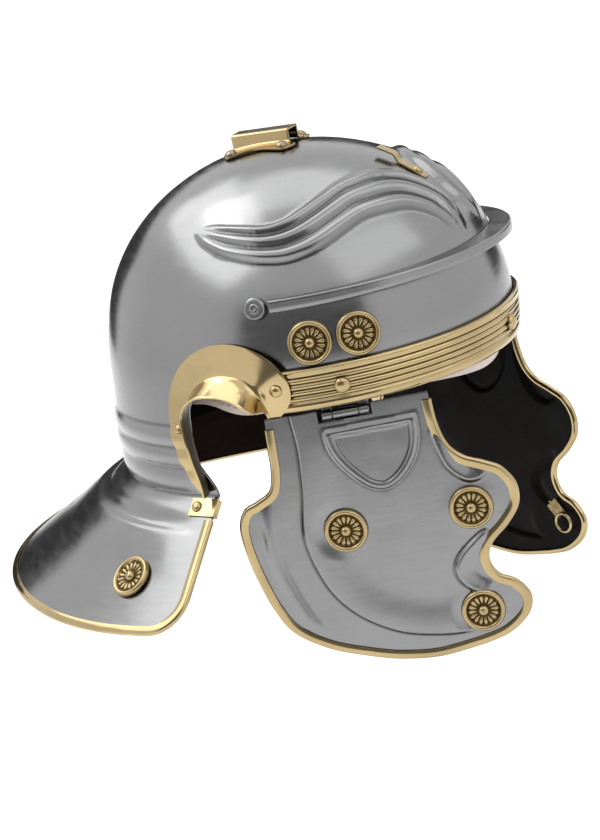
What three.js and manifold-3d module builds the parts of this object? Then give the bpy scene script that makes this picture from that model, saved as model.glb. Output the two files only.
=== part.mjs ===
// Roman legionary helmet of the Imperial Gallic form, in millimetres, +Z up.
// The wearer faces -Y and the wearer's left is +X.  The origin is the middle of the head opening,
// level with the lower edge of the brow band.  The brow band lies level, as the helmet is worn.

import * as THREE from 'three';
import { mergeGeometries, mergeVertices } from 'three/addons/utils/BufferGeometryUtils.js';
import Module from 'manifold-3d';

const wasm = await Module();
wasm.setup();

// ---------------------------------------------------------------- driving dimensions

const bowlHalfLength = 119.5;
const bowlHalfWidth = 100.8;
const bowlRise = 100.9;          // from the widest level up to the crown
const bowlWidestLevel = 25;
const steelThickness = 1.5;
const napeSpread = 1.056;        // how far the nape stands out from the bowl's own outline
const napeFlareTop = 50;         // the back of the bowl starts to spread here
const napeFlareFoot = -20;
const napeFoot = -42;            // the neck guard starts here
const napeRibHeights = [-3, -15, -27, -42];
const napeRibBulge = 1.2;
const frontLean = 0.037;         // how much of its length the brow gives up below the crown
const frontLeanFrom = 50;
const frontLeanTo = 78;

const earOpeningMiddle = 11;     // distance of the ear opening behind the origin
const earOpeningHalfWidth = 24.3;
const earOpeningHeight = 24;

const guardSideSlope = THREE.MathUtils.degToRad(43.5);
const guardBackSlope = THREE.MathUtils.degToRad(29.5);
const guardReachBack = 95.5;
const guardReachSide = 80;
const guardEdgeTurn = THREE.MathUtils.degToRad(102);
const guardCornerRadius = 20;
const guardStepAt = 24;          // a low step runs across the guard this far from the nape
const guardStepHeight = 1.6;

const bandHeight = 23;
const bandEndTurn = THREE.MathUtils.degToRad(80);

const peakEndTurn = THREE.MathUtils.degToRad(82);
const peakSideLevel = 57;
const peakFrontLevel = 62.5;
const peakLedge = 12.5;          // how much wider the ledge is at the front than at the sides
const peakSideWidth = 3.2;
const peakRiseAtSide = 3.7;

const earLedge = 13;

const cheekThickness = 1.2;
const cheekHingeBack = -37;      // the hinge lies between these two distances along the helmet
const cheekHingeFront = -61;
const hingeLevel = -6.5;
const hingePinRadius = 1.1;
const hingeBarrelRadius = 2.6;
const leftCheekSwing = THREE.MathUtils.degToRad(-3.5);   // the left guard hangs a little further in

const rosetteRadius = 12.1;
const rivetRadius = 4.4;

const crestBoxLength = 35;
const crestBoxMiddle = 5.5;
const crestBoxTop = 134.3;
const crestBoxHalfWidth = 6.5;
const crestFlangeLength = 44;
const crestFlangeHalfWidth = 17;

const bindingWall = 0.7;
const bindingGap = 0.5;
const bindingDepth = 4;
const clipStart = 2.5;
const clipEnd = 13;

const bandGap = 0.7;
const bandRidges = 4;
const bandRidgePitch = 3.2;

const peakDiscRadius = 6;
const peakGap = 0.6;
const peakLip = 1.6;

const wallOfBrass = 1.2;
const earGap = 0.6;
const earTabLift = 3.4;          // the front tab lies over the end of the brow band

const hingeNotchDepth = 6.5;
const hingeLeafThickness = 1.2;
const knuckleSplit = 7;

const cheekRosettes = [[-37.5, -71], [-101.5, -70.4], [-97.5, -129]];
const laceTabSpot = [-103.5, -120];
const laceRingSpot = [-109, -127.5];
const laceRingRadius = 5.5;
const laceTilt = -0.7;

const bowlRosetteLevel = 36;

const hookFront = -86;
const hookBack = -61;
const hookBend = -71;
const hookRise = 3.5;
const hookWidth = 6;

const linerTop = 28;
const linerSideFoot = -4;
const linerFrontFoot = -13;
const linerGap = 8.2;
const linerThickness = 1.5;

// ---------------------------------------------------------------- colours

const finishes = {
  steel: { color: 0xa9abad, roughness: 0.22, metalness: 1 },
  brass: { color: 0xcdb67e, roughness: 0.25, metalness: 1 },
  leather: { color: 0xb7aaa3, roughness: 0.8, metalness: 0 },
};

const helmet = new THREE.Group();

function addPiece(name, geometry, finish, parent = helmet) {
  const mesh = new THREE.Mesh(geometry, new THREE.MeshStandardMaterial(finishes[finish]));
  mesh.name = name;
  parent.add(mesh);
  return mesh;
}

// ---------------------------------------------------------------- ways of making a solid

function plainPositions(geometry) {
  const bare = geometry.clone();
  for (const name of Object.keys(bare.attributes)) {
    if (name !== 'position') bare.deleteAttribute(name);
  }
  const merged = mergeVertices(bare, 1e-3);
  const corners = merged.index.array;
  const kept = [];
  for (let i = 0; i < corners.length; i += 3) {
    const [a, b, c] = corners.slice(i, i + 3);
    if (a !== b && b !== c && c !== a) kept.push(a, b, c);
  }
  merged.setIndex(kept);
  return merged;
}

function signedVolume(geometry) {
  const at = geometry.attributes.position;
  const corners = geometry.index.array;
  const [a, b, c] = [new THREE.Vector3(), new THREE.Vector3(), new THREE.Vector3()];
  let total = 0;
  for (let i = 0; i < corners.length; i += 3) {
    a.fromBufferAttribute(at, corners[i]);
    b.fromBufferAttribute(at, corners[i + 1]);
    c.fromBufferAttribute(at, corners[i + 2]);
    total += a.dot(b.cross(c)) / 6;
  }
  return total;
}

function facingOut(geometry) {
  const solid = plainPositions(geometry);
  if (signedVolume(solid) < 0) {
    const corners = Array.from(solid.index.array);
    for (let i = 0; i < corners.length; i += 3) {
      [corners[i], corners[i + 1]] = [corners[i + 1], corners[i]];
    }
    solid.setIndex(corners);
  }
  return solid;
}

function moveEachPoint(geometry, place) {
  const at = geometry.attributes.position;
  for (let i = 0; i < at.count; i += 1) {
    const p = place(at.getX(i), at.getY(i), at.getZ(i));
    at.setXYZ(i, p.x, p.y, p.z);
  }
  return geometry;
}

// A unit block bent into a wall: u and v run along it and w runs through it, all from 0 to 1.
function bentBlock(columns, rows, place) {
  const block = new THREE.BoxGeometry(1, 1, 1, columns, rows, 1);
  return facingOut(moveEachPoint(block, (x, y, z) => place(x + 0.5, y + 0.5, z + 0.5)));
}

// A closed outline carried along a route in a number of steps: t runs from 0 to 1.
function carriedOutline(outline, steps, place) {
  const shape = new THREE.Shape(outline.map(([x, y]) => new THREE.Vector2(x, y)));
  const bar = new THREE.ExtrudeGeometry(shape, { depth: 1, steps, bevelEnabled: false });
  return facingOut(moveEachPoint(bar, (x, y, t) => place(t, x, y)));
}

function surfacePatch(columns, rows, place) {
  const patch = new THREE.PlaneGeometry(1, 1, columns, rows);
  return moveEachPoint(patch, (x, y) => place(x + 0.5, 0.5 - y));
}

// Joined patches given a thickness on their inner side.
function thickened(patches, thickness) {
  const skin = plainPositions(mergeGeometries(patches.map((p) => plainPositions(p))));
  skin.computeVertexNormals();
  const count = skin.attributes.position.count;
  const outer = skin.attributes.position;
  const normal = skin.attributes.normal;
  const points = Array.from(outer.array);
  for (let i = 0; i < count; i += 1) {
    points.push(
      outer.getX(i) - normal.getX(i) * thickness,
      outer.getY(i) - normal.getY(i) * thickness,
      outer.getZ(i) - normal.getZ(i) * thickness,
    );
  }
  const corners = Array.from(skin.index.array);
  const faces = [...corners];
  const edges = new Set();
  for (let i = 0; i < corners.length; i += 3) {
    const [a, b, c] = corners.slice(i, i + 3);
    faces.push(a + count, c + count, b + count);
    [[a, b], [b, c], [c, a]].forEach(([p, q]) => edges.add(`${p} ${q}`));
  }
  for (const edge of edges) {
    const [p, q] = edge.split(' ').map(Number);
    if (!edges.has(`${q} ${p}`)) faces.push(q, p, p + count, q, p + count, q + count);
  }
  const solid = new THREE.BufferGeometry();
  solid.setAttribute('position', new THREE.Float32BufferAttribute(points, 3));
  solid.setIndex(faces);
  return facingOut(solid);
}

function mirrored(geometry) {
  return facingOut(moveEachPoint(geometry.clone(), (x, y, z) => new THREE.Vector3(-x, y, z)));
}

// A turned piece standing on a surface: its axis points along the surface's outward normal.
function standingOn(spot, outward, outline, sides) {
  const turned = new THREE.LatheGeometry(outline.map(([r, h]) => new THREE.Vector2(r, h)), sides);
  const up = new THREE.Quaternion().setFromUnitVectors(new THREE.Vector3(0, 1, 0), outward);
  turned.applyQuaternion(up);
  turned.translate(spot.x, spot.y, spot.z);
  return facingOut(turned);
}

// ---------------------------------------------------------------- the bowl's surface

// "turn" is the angle round the helmet from the front, positive to the wearer's left.
function outlineShare(turn, level) {
  const rise = (level - bowlWidestLevel) / bowlRise;
  const round = Math.sqrt(Math.max(0, 1 - rise * rise));
  const flare = 1 - THREE.MathUtils.smoothstep(level, napeFlareFoot, napeFlareTop);
  const behind = THREE.MathUtils.smoothstep(THREE.MathUtils.radToDeg(Math.abs(turn)), 80, 100);
  const brow = Math.max(0, Math.cos(turn)) ** 4;
  const lean = frontLean * brow * (1 - THREE.MathUtils.smoothstep(level, frontLeanFrom, frontLeanTo));
  return THREE.MathUtils.lerp(round, napeSpread, flare * behind) * (1 - lean);
}

function ribBulge(turn, level) {
  let bulge = 0;
  for (let i = 0; i + 1 < napeRibHeights.length; i += 1) {
    const along = (napeRibHeights[i] - level) / (napeRibHeights[i] - napeRibHeights[i + 1]);
    if (along > 0 && along < 1) bulge = napeRibBulge * Math.sin(Math.PI * along);
  }
  return bulge * THREE.MathUtils.smoothstep(THREE.MathUtils.radToDeg(Math.abs(turn)), 104, 112);
}

function bowlPoint(turn, level) {
  const share = outlineShare(turn, level);
  const bulge = ribBulge(turn, level);
  return new THREE.Vector3(
    Math.sin(turn) * (bowlHalfWidth * share + bulge),
    -Math.cos(turn) * (bowlHalfLength * share + bulge),
    level,
  );
}

function bowlOutward(turn, level) {
  const small = 0.01;
  const here = bowlPoint(turn, level);
  const round = bowlPoint(turn + small, level).sub(here);
  const up = bowlPoint(turn, level + small).sub(here);
  return round.cross(up).normalize();
}

function onBowl(turn, level, out = 0) {
  return bowlPoint(turn, level).addScaledVector(bowlOutward(turn, level), out);
}

// The turn on the wearer's right side at which the bowl lies a given distance behind the origin.
function turnBehind(behind, level) {
  let turn = -Math.PI / 2;
  for (let i = 0; i < 8; i += 1) {
    const reach = bowlHalfLength * outlineShare(turn, level);
    turn = -Math.acos(THREE.MathUtils.clamp(-behind / reach, -1, 1));
  }
  return turn;
}

function onBowlSide(behind, level, out = 0) {
  return onBowl(turnBehind(behind, level), level, out);
}

// ---------------------------------------------------------------- bowl and neck guard

const earFrontTurn = -turnBehind(earOpeningMiddle - earOpeningHalfWidth, 0);
const earBackTurn = -turnBehind(earOpeningMiddle + earOpeningHalfWidth, 0);

function rimOfBowl(turn) {
  const side = Math.abs(turn);
  if (side <= earFrontTurn || side >= earBackTurn) return 0;
  const along = (side - earFrontTurn) / (earBackTurn - earFrontTurn);
  return earOpeningHeight * Math.sqrt(Math.max(0, 1 - (2 * along - 1) ** 2));
}

const frontColumns = 8;
const earColumns = 8;
const backShares = [0, 0.01, 0.035, 0.08, 0.18, 0.3, 0.44, 0.58, 0.72, 0.86, 1];
const backColumns = backShares.length - 1;

// Turns of the columns on one side, closer together at the two feet of the ear opening.
function columnTurns() {
  const turns = [];
  for (let i = 0; i < frontColumns; i += 1) turns.push(earFrontTurn * (i / frontColumns));
  for (let i = 0; i < earColumns; i += 1) {
    const along = (1 - Math.cos(Math.PI * (i / earColumns))) / 2;
    turns.push(THREE.MathUtils.lerp(earFrontTurn, earBackTurn, along));
  }
  for (const share of backShares) turns.push(THREE.MathUtils.lerp(earBackTurn, Math.PI, share));
  return turns;
}

const sideTurns = columnTurns();
const roundTurns = [...sideTurns.slice(1).reverse().map((turn) => -turn), ...sideTurns];

function capPatch() {
  const rows = 11;
  const columns = roundTurns.length - 1;
  return surfacePatch(columns, rows, (u, v) => {
    const turn = roundTurns[Math.round(u * columns)];
    const lowest = Math.asin((rimOfBowl(turn) - bowlWidestLevel) / bowlRise);
    const lift = THREE.MathUtils.lerp(Math.PI / 2, lowest, v);
    if (v === 0) return new THREE.Vector3(0, 0, bowlWidestLevel + bowlRise);
    return bowlPoint(turn, bowlWidestLevel + bowlRise * Math.sin(lift));
  });
}

// The front edge of the nape wall: it runs down behind the ear and then forward to the guard.
function napeEdgeTurn(level) {
  const forward = THREE.MathUtils.smoothstep(-level, 20, -napeFoot);
  return THREE.MathUtils.lerp(earBackTurn, guardEdgeTurn, forward);
}

// Which of the back columns a share of a patch's width falls on, counted from its side edge.
function backShare(side, u) {
  const column = Math.round(u * backColumns);
  return backShares[side < 0 ? backColumns - column : column];
}

const napeLevels = [0, -3, -9, -15, -21, -27, -34.5, napeFoot];

function napePatch(side) {
  const rows = napeLevels.length - 1;
  return surfacePatch(backColumns, rows, (u, v) => {
    const level = napeLevels[Math.round(v * rows)];
    const turn = THREE.MathUtils.lerp(napeEdgeTurn(level), Math.PI, backShare(side, u));
    return bowlPoint(side * turn, level);
  });
}

function guardReach(turn) {
  const fromBack = (Math.PI - Math.abs(turn)) / (Math.PI - guardEdgeTurn);
  return guardReachBack - (guardReachBack - guardReachSide) * fromBack ** 2;
}

// A point on the neck guard: "along" is the distance from the nape down the guard's slope.
function onGuard(turn, along, out = 0) {
  const back = Math.cos(turn) ** 2;
  const slope = THREE.MathUtils.lerp(guardSideSlope, guardBackSlope, back);
  const flat = flatOutward(turn);
  const fromEdge = THREE.MathUtils.smoothstep(Math.abs(turn), guardEdgeTurn + 0.02, guardEdgeTurn + 0.2);
  const rise = THREE.MathUtils.smoothstep(along, guardStepAt - 4, guardStepAt);
  const step = guardStepHeight * fromEdge * rise;
  const ridge = step * (1 - THREE.MathUtils.smoothstep(along, guardStepAt, guardStepAt + 30));
  const point = bowlPoint(turn, napeFoot);
  point.addScaledVector(flat, along * Math.cos(slope) + (out + ridge) * Math.sin(slope));
  point.z += (out + ridge) * Math.cos(slope) - along * Math.sin(slope);
  return point;
}

function guardOutward(turn, along) {
  const here = onGuard(turn, along);
  const round = onGuard(turn + 0.01, along).sub(here);
  const down = onGuard(turn, along + 0.1).sub(here);
  return down.cross(round).normalize();
}

// How far the rounded corner shortens the guard near its side edge.
function cornerLoss(arcFromEdge) {
  const into = THREE.MathUtils.clamp(1 - arcFromEdge / guardCornerRadius, 0, 1);
  return guardCornerRadius * (1 - Math.sqrt(1 - into * into));
}

function guardEdgeAlong(turn) {
  const arc = (Math.abs(turn) - guardEdgeTurn) * (bowlHalfWidth + guardReachSide);
  return guardReach(turn) - cornerLoss(arc);
}

const guardRowShares = [0, 0.2, 0.25, 0.5, 0.75, 1];

function guardPatch(side) {
  const rows = guardRowShares.length - 1;
  return surfacePatch(backColumns, rows, (u, v) => {
    const turn = THREE.MathUtils.lerp(guardEdgeTurn, Math.PI, backShare(side, u));
    return onGuard(side * turn, guardRowShares[Math.round(v * rows)] * guardEdgeAlong(turn));
  });
}

addPiece(
  'skull',
  thickened([capPatch(), napePatch(-1), napePatch(1), guardPatch(-1), guardPatch(1)], steelThickness),
  'steel',
);

// ---------------------------------------------------------------- brass binding along an edge

// A folded strip: x runs inwards from the plate's edge, y stands off its middle surface.
function bindingOutline(depth, halfPlate) {
  const inside = halfPlate + bindingGap;
  const outside = inside + bindingWall;
  return [
    [-bindingWall - bindingGap, -outside], [depth, -outside], [depth, -inside], [-bindingGap, -inside],
    [-bindingGap, inside], [depth, inside], [depth, outside], [-bindingWall - bindingGap, outside],
  ];
}

// Stations are { point, outward }: a point of the edge and the plate's outward direction there.
function boundEdge(stations, depth, halfPlate) {
  const steps = stations.length - 1;
  return carriedOutline(bindingOutline(depth, halfPlate), steps, (t, inset, off) => {
    const here = Math.round(t * steps);
    const before = stations[Math.max(0, here - 1)].point;
    const after = stations[Math.min(steps, here + 1)].point;
    const { point, outward } = stations[here];
    const inwards = after.clone().sub(before).cross(outward).normalize();
    return point.clone().addScaledVector(inwards, inset).addScaledVector(outward, off);
  });
}

// The guard's edge from its right side edge round the back to its left one.
function guardEdgeStations() {
  const sideEdge = guardRowShares.slice(2);
  const stations = [];
  const add = (turn, along) => {
    const point = onGuard(turn, along, -steelThickness / 2);
    stations.push({ point, outward: guardOutward(turn, along) });
  };
  const farthest = guardEdgeAlong(guardEdgeTurn);
  sideEdge.forEach((share) => add(-guardEdgeTurn, share * farthest));
  const outerTurns = backShares.slice(1).map((share) => THREE.MathUtils.lerp(guardEdgeTurn, Math.PI, share));
  outerTurns.forEach((turn) => add(-turn, guardEdgeAlong(turn)));
  outerTurns.slice(0, -1).reverse().forEach((turn) => add(turn, guardEdgeAlong(turn)));
  [...sideEdge].reverse().forEach((share) => add(guardEdgeTurn, share * farthest));
  return stations;
}

addPiece('neck_trim', boundEdge(guardEdgeStations(), bindingDepth, steelThickness / 2), 'brass');

// The clip folded round the top of the guard's side edge, under the foot of the ear guard.
function neckClip() {
  const clear = steelThickness / 2 + bindingGap;
  const outer = clear + bindingWall;
  const outline = [
    [-1.4, -outer], [7, -outer], [7, -clear], [-0.5, -clear],
    [-0.5, clear], [14, clear], [14, outer], [-1.4, outer],
  ];
  return carriedOutline(outline, 3, (t, inset, off) => {
    const along = THREE.MathUtils.lerp(clipStart, clipEnd, t);
    const turn = -guardEdgeTurn - inset / (bowlHalfWidth * napeSpread + along / 2);
    return onGuard(turn, along, off - steelThickness / 2);
  });
}

addPiece('neck_clip_right', neckClip(), 'brass');
addPiece('neck_clip_left', mirrored(neckClip()), 'brass');

// ---------------------------------------------------------------- brow band and peak

function bandOutline() {
  const points = [[bandGap, 0], [3.2, 0.3], [3.6, 2.2], [3.2, 4.4], [2.2, 5.2]];
  for (let i = 0; i < bandRidges; i += 1) {
    const foot = 5.6 + i * bandRidgePitch;
    points.push([3.3, foot + bandRidgePitch / 2], [2.2, foot + bandRidgePitch]);
  }
  points.push([3.2, bandHeight - 3.6], [3.6, bandHeight - 1], [2.6, bandHeight]);
  points.push([bandGap, bandHeight], [bandGap, bandHeight / 2]);
  return points;
}

addPiece(
  'brow_band',
  carriedOutline(bandOutline(), 30, (t, out, level) => (
    onBowl(THREE.MathUtils.lerp(-bandEndTurn, bandEndTurn, t), level, out)
  )),
  'brass',
);

function flatOutward(turn) {
  return new THREE.Vector3(
    Math.sin(turn) / bowlHalfWidth,
    -Math.cos(turn) / bowlHalfLength,
    0,
  ).normalize();
}

// An angled bar: a ledge that widens towards the front, with a lip turned down along its edge.
function browPeak() {
  const outline = [[0, 0], [0, 1], [1, 1], [1, 2], [2, 2], [2, 0]];
  const end = peakEndTurn - peakDiscRadius / bowlHalfWidth - 0.01;
  return carriedOutline(outline, 32, (t, across, down) => {
    const turn = THREE.MathUtils.lerp(-end, end, t);
    const front = Math.cos(turn) ** 2;
    const top = THREE.MathUtils.lerp(peakSideLevel + peakRiseAtSide, peakFrontLevel, front);
    const reach = peakSideWidth + peakLedge * front;
    const lip = THREE.MathUtils.lerp(6.5, 5, front);
    const out = [peakGap, reach - peakLip, reach][across];
    const drop = [0, peakLip, lip][down];
    const point = bowlPoint(turn, across === 0 ? top - drop : top);
    point.addScaledVector(flatOutward(turn), out);
    point.z = top - drop;
    return point;
  });
}

addPiece('brow_peak', browPeak(), 'steel');

// ---------------------------------------------------------------- ear guards

// Lines along the right ear guard, from its front tab over the ear and down behind it, as
// distances behind the origin and levels.
const earOuterLine = smoothLine([
  [-19.5, 0.4], [-26.6, 8], [-27.6, 18.5], [-21, 30], [-7, 38.5], [9, 41],
  [25, 36.8], [38, 26.5], [46, 12.5], [48.4, -3], [47, -18], [45.3, -33],
]);
const earFoldLine = smoothLine([
  [-12.9, 0.4], [-12.8, 5], [-12, 10], [-8, 17], [-1, 22.8], [9, 24.8],
  [20, 23.2], [29.5, 16.8], [34.5, 7.5], [35.2, -3], [34, -18], [31.5, -33],
]);
const earFreeLine = smoothLine([
  [-12.5, 0.4], [-11.5, 3], [-10.3, 6], [-5, 10], [1, 14.5], [10, 16.7],
  [19.5, 16.3], [26.2, 11.8], [29, 5.5], [29.3, -3], [28.4, -17], [28, -33],
]);
const flangeShare = 0.5;         // the share of the ear guard's section that lies on the bowl
const earRows = [0, 0.25, flangeShare, 0.56, 0.66, 0.82, 1];

// The ear guard's outer surface: a flange that lies on the bowl, folded out into a ledge.
function earSurface(share, across) {
  const fold = earFoldLine.getPoint(share);
  const lift = earGap + wallOfBrass + earTabLift * (1 - THREE.MathUtils.smoothstep(share, 0.2, 0.4));
  if (across < flangeShare) {
    const place = earOuterLine.getPoint(share).lerp(fold, across / flangeShare);
    return onBowlSide(place.x, place.y, lift);
  }
  const ledge = (across - flangeShare) / (1 - flangeShare) * THREE.MathUtils.smoothstep(share, 0.12, 0.18);
  const place = fold.lerp(earFreeLine.getPoint(share), ledge);
  const reach = earLedge * (1 - 0.4 * THREE.MathUtils.smoothstep(share, 0.75, 1));
  return onBowlSide(place.x, place.y, lift + reach * ledge ** 1.4 + across - flangeShare);
}

function earGuard() {
  const small = 0.01;
  return bentBlock(26, earRows.length - 1, (share, v, w) => {
    const across = earRows[Math.round(v * (earRows.length - 1))];
    const along = earSurface(Math.min(1, share + small), across);
    along.sub(earSurface(Math.max(0, share - small), across));
    const over = earSurface(share, Math.min(1, across + small));
    over.sub(earSurface(share, Math.max(0, across - small)));
    const inward = over.cross(along).normalize();
    return earSurface(share, across).addScaledVector(inward, (1 - w) * wallOfBrass);
  });
}

addPiece('ear_guard_right', earGuard(), 'brass');
addPiece('ear_guard_left', mirrored(earGuard()), 'brass');

// ---------------------------------------------------------------- cheek guards

// Half the distance between the two guards' middle surfaces at a place on them.
function cheekHalfGap(behind, level) {
  const back = (behind + 45) / 50;
  const up = (level + 80) / 50;
  return 86.8 + 17.2 * back - 1.2 * back * back - 0.4 * up - 0.6 * up * up;
}

function cheekOutward(behind, level) {
  const small = 0.1;
  const back = (cheekHalfGap(behind + small, level) - cheekHalfGap(behind, level)) / small;
  const up = (cheekHalfGap(behind, level + small) - cheekHalfGap(behind, level)) / small;
  return new THREE.Vector3(-1, -back, -up).normalize();
}

function onCheek(behind, level, out = 0) {
  const point = new THREE.Vector3(-cheekHalfGap(behind, level), behind, level);
  return point.addScaledVector(cheekOutward(behind, level), out);
}

function smoothLine(points) {
  return new THREE.SplineCurve(points.map(([behind, level]) => new THREE.Vector2(behind, level)));
}

const cheekTop = -3.5;
const cheekFrontEdge = smoothLine([
  [-90.8, cheekTop], [-91.6, -20], [-94.7, -33], [-101, -41.5], [-111, -47], [-119.5, -52.5],
  [-124.5, -62], [-124, -73], [-117, -83], [-108, -91.5], [-104.7, -101], [-108, -110.5],
  [-116.5, -116.5], [-121.7, -126], [-118.5, -136], [-108, -144.3], [-95, -148],
]);
const cheekBackEdge = smoothLine([
  [-7.5, cheekTop], [-7, -20], [-6.4, -32], [-3.5, -43], [4.7, -48.3], [12, -52],
  [15.9, -62], [14.9, -78.5], [11.6, -94.7], [7.2, -110], [-0.5, -124.5], [-17.5, -136.7], [-38, -144.7],
]);
const cheekFootEdge = smoothLine([[-95, -148], [-72, -150.8], [-52, -148.6], [-38, -144.7]]);
const cheekColumns = [0, 0.17, 0.33, 0.345, 0.5, 0.665, 0.68, 0.84, 1];
const cheekRows = 22;
const trimmedFrom = 1;           // the binding leaves the first row of the two edges bare

function cheekTopEdge(u) {
  const inNotch = u > 0.34 && u < 0.67;
  const behind = THREE.MathUtils.lerp(-90.8, -7.5, u);
  return new THREE.Vector2(behind, inNotch ? cheekTop - hingeNotchDepth : cheekTop);
}

// A place on the guard between its four edges: u runs from front to back and v from top to foot.
function cheekPlace(u, v) {
  const front = cheekFrontEdge.getPoint(v);
  const back = cheekBackEdge.getPoint(v);
  const foot = cheekFootEdge.getPoint(u);
  const top = cheekTopEdge(u);
  const place = front.clone().lerp(back, u).add(top.clone().lerp(foot, v));
  const topLine = cheekFrontEdge.getPoint(0).lerp(cheekBackEdge.getPoint(0), u);
  const footLine = cheekFrontEdge.getPoint(1).lerp(cheekBackEdge.getPoint(1), u);
  return place.sub(topLine.lerp(footLine, v));
}

function cheekPlate() {
  const columns = cheekColumns.length - 1;
  return bentBlock(columns, cheekRows, (x, y, w) => {
    const place = cheekPlace(cheekColumns[Math.round(x * columns)], y);
    return onCheek(place.x, place.y, (w - 0.5) * cheekThickness);
  });
}

function cheekEdgeStations() {
  const stations = [];
  const add = (u, v) => {
    const place = cheekPlace(u, v);
    stations.push({ point: onCheek(place.x, place.y), outward: cheekOutward(place.x, place.y) });
  };
  for (let row = trimmedFrom; row < cheekRows; row += 1) add(0, row / cheekRows);
  cheekColumns.forEach((u) => add(u, 1));
  for (let row = cheekRows - 1; row >= trimmedFrom; row -= 1) add(1, row / cheekRows);
  return stations;
}

// The hinge's own directions: along its pin, away from the head, and up.
const hingeSpot = onCheek((cheekHingeBack + cheekHingeFront) / 2, hingeLevel);
const hingeAway = cheekOutward(hingeSpot.y, hingeLevel).setZ(0).normalize();
const hingeAlong = new THREE.Vector3(0, 0, 1).cross(hingeAway).normalize();
const hingeLength = (cheekHingeBack - cheekHingeFront) / Math.abs(hingeAlong.y);

function hingePlaced(geometry) {
  const turned = new THREE.Matrix4().makeBasis(hingeAlong, hingeAway, new THREE.Vector3(0, 0, 1));
  turned.setPosition(hingeSpot);
  return facingOut(geometry.applyMatrix4(turned));
}

function asSolid(geometry) {
  const plain = facingOut(geometry);
  return new wasm.Manifold(new wasm.Mesh({
    numProp: 3,
    vertProperties: new Float32Array(plain.attributes.position.array),
    triVerts: new Uint32Array(plain.index.array),
  }));
}

function asGeometry(solid) {
  const mesh = solid.getMesh();
  const geometry = new THREE.BufferGeometry();
  geometry.setAttribute('position', new THREE.Float32BufferAttribute(mesh.vertProperties, 3));
  geometry.setIndex(Array.from(mesh.triVerts));
  return geometry;
}

// A rolled knuckle round the pin, between two places along it.
function knuckle(from, to) {
  const bore = hingePinRadius + 0.3;
  const outline = [
    [bore, from], [hingeBarrelRadius, from], [hingeBarrelRadius, to], [bore, to], [bore, from],
  ];
  const ring = new THREE.LatheGeometry(outline.map(([r, h]) => new THREE.Vector2(r, h)), 10);
  return ring.rotateZ(-Math.PI / 2);
}

function leafPlate(from, to, low, high, off) {
  const plate = new THREE.BoxGeometry(to - from, hingeLeafThickness, high - low);
  return plate.translate((from + to) / 2, off, (low + high) / 2);
}

const halfHinge = hingeLength / 2;
const leafOff = -(hingePinRadius + 0.3 + hingeBarrelRadius) / 2;

function upperHingeLeaf() {
  const outerKnuckles = asSolid(knuckle(-halfHinge, -knuckleSplit - 0.3))
    .add(asSolid(knuckle(knuckleSplit + 0.3, halfHinge)));
  const feet = asSolid(leafPlate(-halfHinge, -knuckleSplit - 0.3, 0, 4, leafOff))
    .add(asSolid(leafPlate(knuckleSplit + 0.3, halfHinge, 0, 4, leafOff)));
  const plate = asSolid(leafPlate(-halfHinge, halfHinge, 3.5, 14, leafOff));
  return hingePlaced(asGeometry(outerKnuckles.add(feet).add(plate)));
}

function lowerHingeLeaf() {
  const middleKnuckle = asSolid(knuckle(-knuckleSplit, knuckleSplit));
  const foot = asSolid(leafPlate(-knuckleSplit, knuckleSplit, -4, 0, leafOff));
  const plate = asSolid(leafPlate(-halfHinge, halfHinge, -14, -3.5, leafOff));
  return hingePlaced(asGeometry(middleKnuckle.add(foot).add(plate)));
}

function hingePin() {
  const pin = new THREE.CylinderGeometry(hingePinRadius, hingePinRadius, hingeLength, 10);
  return hingePlaced(pin.rotateZ(Math.PI / 2));
}

// The loop for a chin lace: a tab on the guard's inner face with a wire ring through its end.
function laceTab() {
  return bentBlock(1, 1, (u, v, w) => {
    const behind = THREE.MathUtils.lerp(-4, 4, u);
    const level = THREE.MathUtils.lerp(-5, 5, v);
    const turned = new THREE.Vector2(behind, level).rotateAround(new THREE.Vector2(), laceTilt);
    const off = -cheekThickness / 2 - 0.4 - w;
    return onCheek(laceTabSpot[0] + turned.x, laceTabSpot[1] + turned.y, off);
  });
}

function laceRing() {
  const [behind, level] = laceRingSpot;
  const ring = new THREE.TorusGeometry(laceRingRadius, 0.9, 6, 14);
  const facing = cheekOutward(behind, level);
  ring.applyQuaternion(new THREE.Quaternion().setFromUnitVectors(new THREE.Vector3(0, 0, 1), facing));
  const spot = onCheek(behind, level, -cheekThickness / 2 - 2.9);
  return facingOut(ring.translate(spot.x, spot.y, spot.z));
}

// ---------------------------------------------------------------- rosettes and rivets

const rosetteOutline = [
  [0, 0], [rosetteRadius, 0], [rosetteRadius - 0.8, 2.4], [rosetteRadius - 3.2, 1.4], [3.4, 1.4], [0, 3.8],
];

function rosette(spot, outward) {
  return standingOn(spot, outward, rosetteOutline, 10);
}

function rivet(spot, outward, radius) {
  const height = radius * 0.7;
  const dome = [[0, 0], [radius, 0], [radius * 0.86, height * 0.6], [0, height]];
  return standingOn(spot, outward, dome, 8);
}

// Pieces made for the wearer's right side and mirrored for the left.
function addPair(name, geometry, finish) {
  addPiece(`${name}_right`, geometry, finish);
  addPiece(`${name}_left`, mirrored(geometry), finish);
}

const bowlRosetteTurns = [THREE.MathUtils.degToRad(56.4), THREE.MathUtils.degToRad(69.2)];
bowlRosetteTurns.forEach((turn, i) => {
  const spot = onBowl(-turn, bowlRosetteLevel, 0.5);
  addPair(`bowl_rosette_${i + 1}`, rosette(spot, bowlOutward(-turn, bowlRosetteLevel)), 'brass');
});

const guardRosetteTurn = -THREE.MathUtils.degToRad(117.5);
addPair(
  'neck_rosette',
  rosette(onGuard(guardRosetteTurn, 53, 0.9), guardOutward(guardRosetteTurn, 53)),
  'brass',
);

function bowlRivet(turn, level, out, radius) {
  return rivet(onBowl(turn, level, out), bowlOutward(turn, level), radius);
}

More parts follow.
